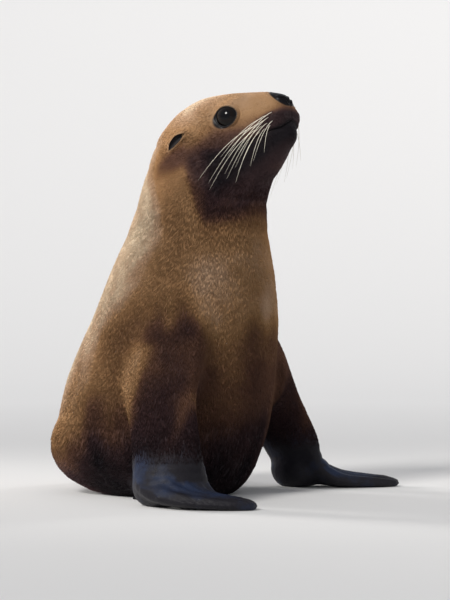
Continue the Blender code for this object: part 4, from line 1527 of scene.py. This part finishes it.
# %% The lie of the coat
NOSE_TIP = np.array(from_head(0.172, 0, 0.0))
DOWN = np.array([0.0, 0.24, -1.0])
DOWN_ARM = (0.30, -0.10, -1.0)  # outward, forward and up
TO_TAIL = np.array([0.0, 1.0, -0.15])
HEAD_LIE = (-0.09, 0.0)  # along the head, from the trunk's lie to its own
HEAD_HEIGHT = (0.42, 0.50)
UNDERSIDE = (0.10, 0.02)
SWIRLS = ((0.20, 30, 3.0), (0.10, 85, 1.2))
TINY = 1e-9

def unit(vectors):
    return vectors / np.maximum(np.linalg.norm(vectors, axis=1, keepdims=True), TINY)

def lie(points, normals, arm_share):
    forward, height = in_head(points)[:, 0], points[:, 2]
    down_arm = np.tile(DOWN_ARM, (len(points), 1))
    down_arm[:, 0] *= np.sign(points[:, 0] - seat.x)
    head_share = (fade(forward, *HEAD_LIE) * fade(height, *HEAD_HEIGHT))[:, None]
    way = unit(points - NOSE_TIP) * head_share + DOWN * (1 - head_share)
    way = way * (1 - arm_share[:, None]) + down_arm * arm_share[:, None]
    low = (fade(height, *UNDERSIDE) * (1 - arm_share))[:, None]
    way = way * (1 - low) + TO_TAIL * low
    way = unit(way - normals * (way * normals).sum(axis=1, keepdims=True))
    return unit(way + np.cross(normals, way) * waver(points, *SWIRLS)[:, None])

print("nose tip at", np.round(NOSE_TIP, 3))

# %% [markdown]
# Roots are scattered over the skin's triangles, more to the square centimetre where the hairs are
# short. None grow on the nose, lids, lips or leather, and they thin out towards the wrists. A tuft
# is shortest on the face and longest on the trunk.

# %% How long the tufts are
BODY_TUFT, HEAD_TUFT, FACE_TUFT, ARM_TUFT = 0.0105, 0.0055, 0.0030, 0.0080
HEAD_TUFTS, FACE_TUFTS = (-0.08, 0.01), (0.04, 0.13)  # where they start along the head
UNDER_TUFTS, UNDER_SHORTER = (0.09, 0.02), 0.40
THIN_LENGTH = 0.55  # what is left of the length where the coat thins out

def tuft_lengths(points, arm_share, furriness):
    forward, height = in_head(points)[:, 0], points[:, 2]
    head_share = fade(forward, *HEAD_TUFTS) * fade(height, *HEAD_HEIGHT)
    length = BODY_TUFT + (HEAD_TUFT - BODY_TUFT) * head_share
    length = length + (FACE_TUFT - length) * fade(forward, *FACE_TUFTS) * head_share
    length = towards(length, ARM_TUFT, arm_share)
    length = length * (1 - UNDER_SHORTER * fade(height, *UNDER_TUFTS))
    return length * (THIN_LENGTH + (1 - THIN_LENGTH) * furriness)

print("tufts in mm: body", BODY_TUFT * 1000, "head", HEAD_TUFT * 1000, "face", FACE_TUFT * 1000)

# %% Where fur grows
WET_SPARES, PITS_SPARE = 1.6, 0.6
LID_INSIDE = 1.12  # on the scale of round_opening
LID_INSIDE_REACH = 0.006  # out from the eye

skin_mesh.calc_loop_triangles()
corners = read_rows(skin_mesh.loop_triangles, "vertices", 3, np.int32)
corner_loops = read_rows(skin_mesh.loop_triangles, "loops", 3, np.int32)
flat_map = read_rows(skin_mesh.uv_layers["OFBake"].uv, "vector", 2)
skin_normals = read_normals(skin_mesh)
sides = skin_points[corners[:, 1:]] - skin_points[corners[:, :1]]
areas = np.linalg.norm(np.cross(sides[:, 0], sides[:, 1]), axis=1) / 2
hairless = np.clip(np.maximum.reduce([wet * WET_SPARES, bare, pits * PITS_SPARE]), 0, 1)
openness = round_opening(eye_places(skin_points)) < LID_INSIDE
openness &= beside_eye(in_head(skin_points)) < EYE_RADIUS + LID_INSIDE_REACH
furred = 1 - np.maximum(hairless, openness)
hair_length = tuft_lengths(skin_points, arms, furred)
print("skin area in square metres:", round(float(areas.sum()), 3))

# %% Scatter the roots
FEWER_WHERE_THIN = 0.7  # both are powers
MORE_WHERE_SHORT = 1.4

def scattered(count, allowed, rng):
    """Rows for count roots: place, normal, place on the map, furriness, share of arm, paleness."""
    weight = areas * allowed[corners[:, 0]] * furred[corners].min(axis=1) ** FEWER_WHERE_THIN
    weight = weight / hair_length[corners[:, 0]] ** MORE_WHERE_SHORT
    chosen = rng.choice(len(corners), count, p=weight / weight.sum())
    first, second = rng.random((2, count))
    over = first + second > 1
    first[over], second[over] = 1 - first[over], 1 - second[over]
    shares = np.column_stack([1 - first - second, first, second])

    def mixed(values, index=corners):
        return np.einsum("nk,nk...->n...", shares, values[index[chosen]])

    return (
        mixed(skin_points), unit(mixed(skin_normals)), mixed(flat_map, corner_loops),
        mixed(furred), mixed(arms), mixed(tone),
    )

print("triangles with fur:", int((furred[corners].min(axis=1) > 0).sum()))

# %% [markdown]
# The ears carry a few tufts on their outer side. Their place on the map is that of the nearest
# point of the skin. Blender may number the points of an ear in another order each time, so its
# squares are sorted by place before roots are drawn on them.

# %% The map under the ears
NEAR_EARS = 0.035  # out from the middle of the head

near_ears = np.flatnonzero(np.abs(in_head(skin_points)[:, 1]) > NEAR_EARS)
skin_tree = KDTree(len(near_ears))
for index in near_ears:
    skin_tree.insert(skin_points[index], int(index))
skin_tree.balance()
map_at = np.zeros((len(skin_points), 2))
map_at[corners] = flat_map[corner_loops]
print("points near the ears:", len(near_ears))

# %% Scatter roots on the ears
EAR_TUFTS = 240  # on each ear
EAR_FURRINESS = 0.1
PLACE_DIGITS, NORMAL_DIGITS = 6, 3  # the digits after these differ from run to run

def in_order(points, squares):
    """The squares sorted by place, each from its lowest corner, so that every run is alike."""
    rank = np.empty(len(points), int)
    rank[np.lexsort(points.T)] = np.arange(len(points))
    first = rank[squares].argmin(axis=1)[:, None]
    squares = np.take_along_axis(squares, (first + np.arange(4)) % 4, axis=1)
    return squares[np.lexsort(rank[squares].T)]

def ear_roots(mesh, rng):
    """Rows like those of scattered, for the outer side of one ear."""
    points = np.round(read_points(mesh), PLACE_DIGITS)
    normals = np.round(read_normals(mesh), NORMAL_DIGITS)
    pale = np.array([entry.value for entry in mesh.attributes["paleness"].data])
    squares = np.array([face.vertices for face in mesh.polygons if len(face.vertices) == 4])
    squares = in_order(points, squares[(pale[squares] > 0.5).all(axis=1)])
    chosen = squares[rng.integers(0, len(squares), EAR_TUFTS)]
    across, along = rng.random((2, EAR_TUFTS))
    shares = np.stack([
        (1 - across) * (1 - along), across * (1 - along), across * along, (1 - across) * along
    ], axis=1)
    roots = np.einsum("nk,nkj->nj", shares, points[chosen])
    places = np.array([map_at[skin_tree.find(root)[1]] for root in roots])
    facing = unit(np.einsum("nk,nkj->nj", shares, normals[chosen]))
    ones = np.ones(EAR_TUFTS)
    return roots, facing, places, ones * EAR_FURRINESS, ones * 0, ones * pale.max()

print("tufts on each ear:", EAR_TUFTS)

# %% [markdown]
# A tuft has four corners: two beside its root, one on top, and the tip. Its paleness is the
# skin's at its root, a little lighter at the tip and a little different from its neighbours'.
# Every tuft also gets its patch on the map: a spot three thousandths across, at the place of its
# root on the skin's map.

# %% Shape the tufts
WAY_SPREAD = 0.10
LENGTHS = (0.75, 1.2)  # of the usual length
LIFTS = (0.10, 0.22)  # of the tip off the skin, as a share of the length
WIDTH_SHARE, WIDTHS = 0.10, (0.00040, 0.00095)
ROOT_DEPTH = 0.0004
RIDGE_BACK, RIDGE_UP = 0.5, 0.9  # of the width
SHADE_SPREAD = 0.014
TUFT_SHADES = np.array([-0.02, -0.02, 0, 0.04])
MAP_PATCH = 0.003
MAP_CORNERS = np.array([[-0.5, -0.5], [0.5, -0.5], [0.0, 0.0], [0.0, 0.5]]) * MAP_PATCH

def tuft_arrays(roots, rng):
    points, normals, places, furriness, arm_share, root_tone = roots
    count = len(points)
    way = lie(points, normals, arm_share)
    way = unit(way + np.cross(normals, way) * rng.normal(0, WAY_SPREAD, (count, 1)))
    length = tuft_lengths(points, arm_share, furriness) * rng.uniform(*LENGTHS, count)
    width = np.clip(length * WIDTH_SHARE, *WIDTHS)
    lift = rng.uniform(*LIFTS, count)
    root = points - normals * ROOT_DEPTH
    beside = np.cross(normals, way) * width[:, None]
    ridge = root - way * (RIDGE_BACK * width)[:, None] + normals * (RIDGE_UP * width)[:, None]
    tip = root + way * length[:, None] + normals * (length * lift)[:, None]
    quads = np.stack([root - beside, root + beside, ridge, tip], axis=1)
    shade = root_tone + rng.normal(0, SHADE_SPREAD, count)
    patches = places[:, None, :] + MAP_CORNERS[None]
    return quads, np.clip(shade[:, None] + TUFT_SHADES, 0, 1), np.clip(patches, 0, 1)

print("a tuft's patch on the map:", MAP_PATCH)

# %% [markdown]
# The arrays become a mesh in one go, without a list of faces in Python.

# %% Turn the arrays into a mesh
TUFT_FACES = np.array([[0, 1, 3], [1, 2, 3], [2, 0, 3], [0, 2, 1]])

def tuft_mesh(name, quads, pale, patches):
    count = len(quads)
    mesh = bpy.data.meshes.new(name)
    mesh.vertices.add(count * 4)
    mesh.vertices.foreach_set("co", quads.astype(np.float32).ravel())
    faces = (np.arange(count)[:, None, None] * 4 + TUFT_FACES[None]).reshape(-1, 3)
    mesh.loops.add(faces.size)
    mesh.loops.foreach_set("vertex_index", faces.astype(np.int32).ravel())
    mesh.polygons.add(len(faces))
    mesh.polygons.foreach_set("loop_start", np.arange(0, faces.size, 3, dtype=np.int32))
    mesh.update(calc_edges=True)
    flat = patches.reshape(-1, 2)[faces.ravel()]
    mesh.uv_layers.new(name="OFBake").uv.foreach_set("vector", flat.astype(np.float32).ravel())
    written(mesh, "paleness", pale.ravel())
    mesh.shade_smooth()
    return mesh

print("faces of one tuft:", len(TUFT_FACES))

# %% Grow the coat
COAT_PARTS = {
    "coat_head": (("head", "lower_jaw", "nose", "eye"), 49000),
    "coat_neck": (("neck",), 46000),
    "coat_chest": (("chest",), 49500),
    "coat_belly": (("abdomen",), 49500),
    "coat_hips": (("hips", "tail"), 49500),
    "coat_arms": (("forearm", "fore_flipper"), 36000),
}
FIRST_SEED = 100

fur, tree, shader = new_material("sea_lion_fur")
set_inputs(shader, {
    "Base Color": coat_colour(tree), "Roughness": 0.60, "Specular IOR Level": 0.06
})
tuft_total = 0
for number, (name, (starts, count)) in enumerate(COAT_PARTS.items()):
    rng = np.random.default_rng(FIRST_SEED + number)
    rows = [scattered(count, on_parts(*starts), rng)]
    if name == "coat_head":
        rows += [ear_roots(ear.data, rng) for ear in ears]
    quads, pale, patches = tuft_arrays([np.concatenate(parts) for parts in zip(*rows)], rng)
    quads[:, :, 2] = np.maximum(quads[:, :, 2], 0.0)
    piece = linked(tuft_mesh(name, quads, pale, patches), name)
    piece.data.materials.append(fur)
    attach(piece, "root")
    tuft_total += len(quads)
print("tufts:", tuft_total, "triangles:", tuft_total * len(TUFT_FACES))

# %% [markdown]
# ## The studio's finish, and the end
#
# The dish is plain paper, light grey under the animal and paler away from it: the grey round the
# animal is a painted shade.

# %% Finish the dish
# The darker grey of the floor round the animal is a painted shade; the wall beyond is paler.
FLOOR_SHADE_GREY = (0.69, 0.69, 0.69, 1)
WALL_GREY = (0.82, 0.82, 0.82, 1)
FLOOR_SHADE_ENDS = 0.8  # distance from the seat at which the floor starts to grow paler
WALL_GREY_STARTS = 3.0
PAPER_PATCHES, PAPER_UNEVENNESS = (0.7, 1), 0.05

def paper_finish():
    material, tree, shader = new_material("pale_paper")
    away = node(tree, "ShaderNodeVectorMath", operation="LENGTH")
    set_inputs(away, {0: node(tree, "ShaderNodeTexCoord").outputs["Object"]})
    share = sums(tree, "SUBTRACT", away.outputs["Value"], FLOOR_SHADE_ENDS)
    share = sums(tree, "DIVIDE", share, WALL_GREY_STARTS - FLOOR_SHADE_ENDS)
    uneven = sums(tree, "MULTIPLY", noise(tree, *PAPER_PATCHES), PAPER_UNEVENNESS)
    tint = blended(tree, sums(tree, "ADD", share, uneven), FLOOR_SHADE_GREY, WALL_GREY)
    set_inputs(shader, {"Base Color": tint, "Roughness": 0.9})
    return material

dish.data.materials.append(paper_finish())
print("finish of the dish:", dish.data.materials[0].name)
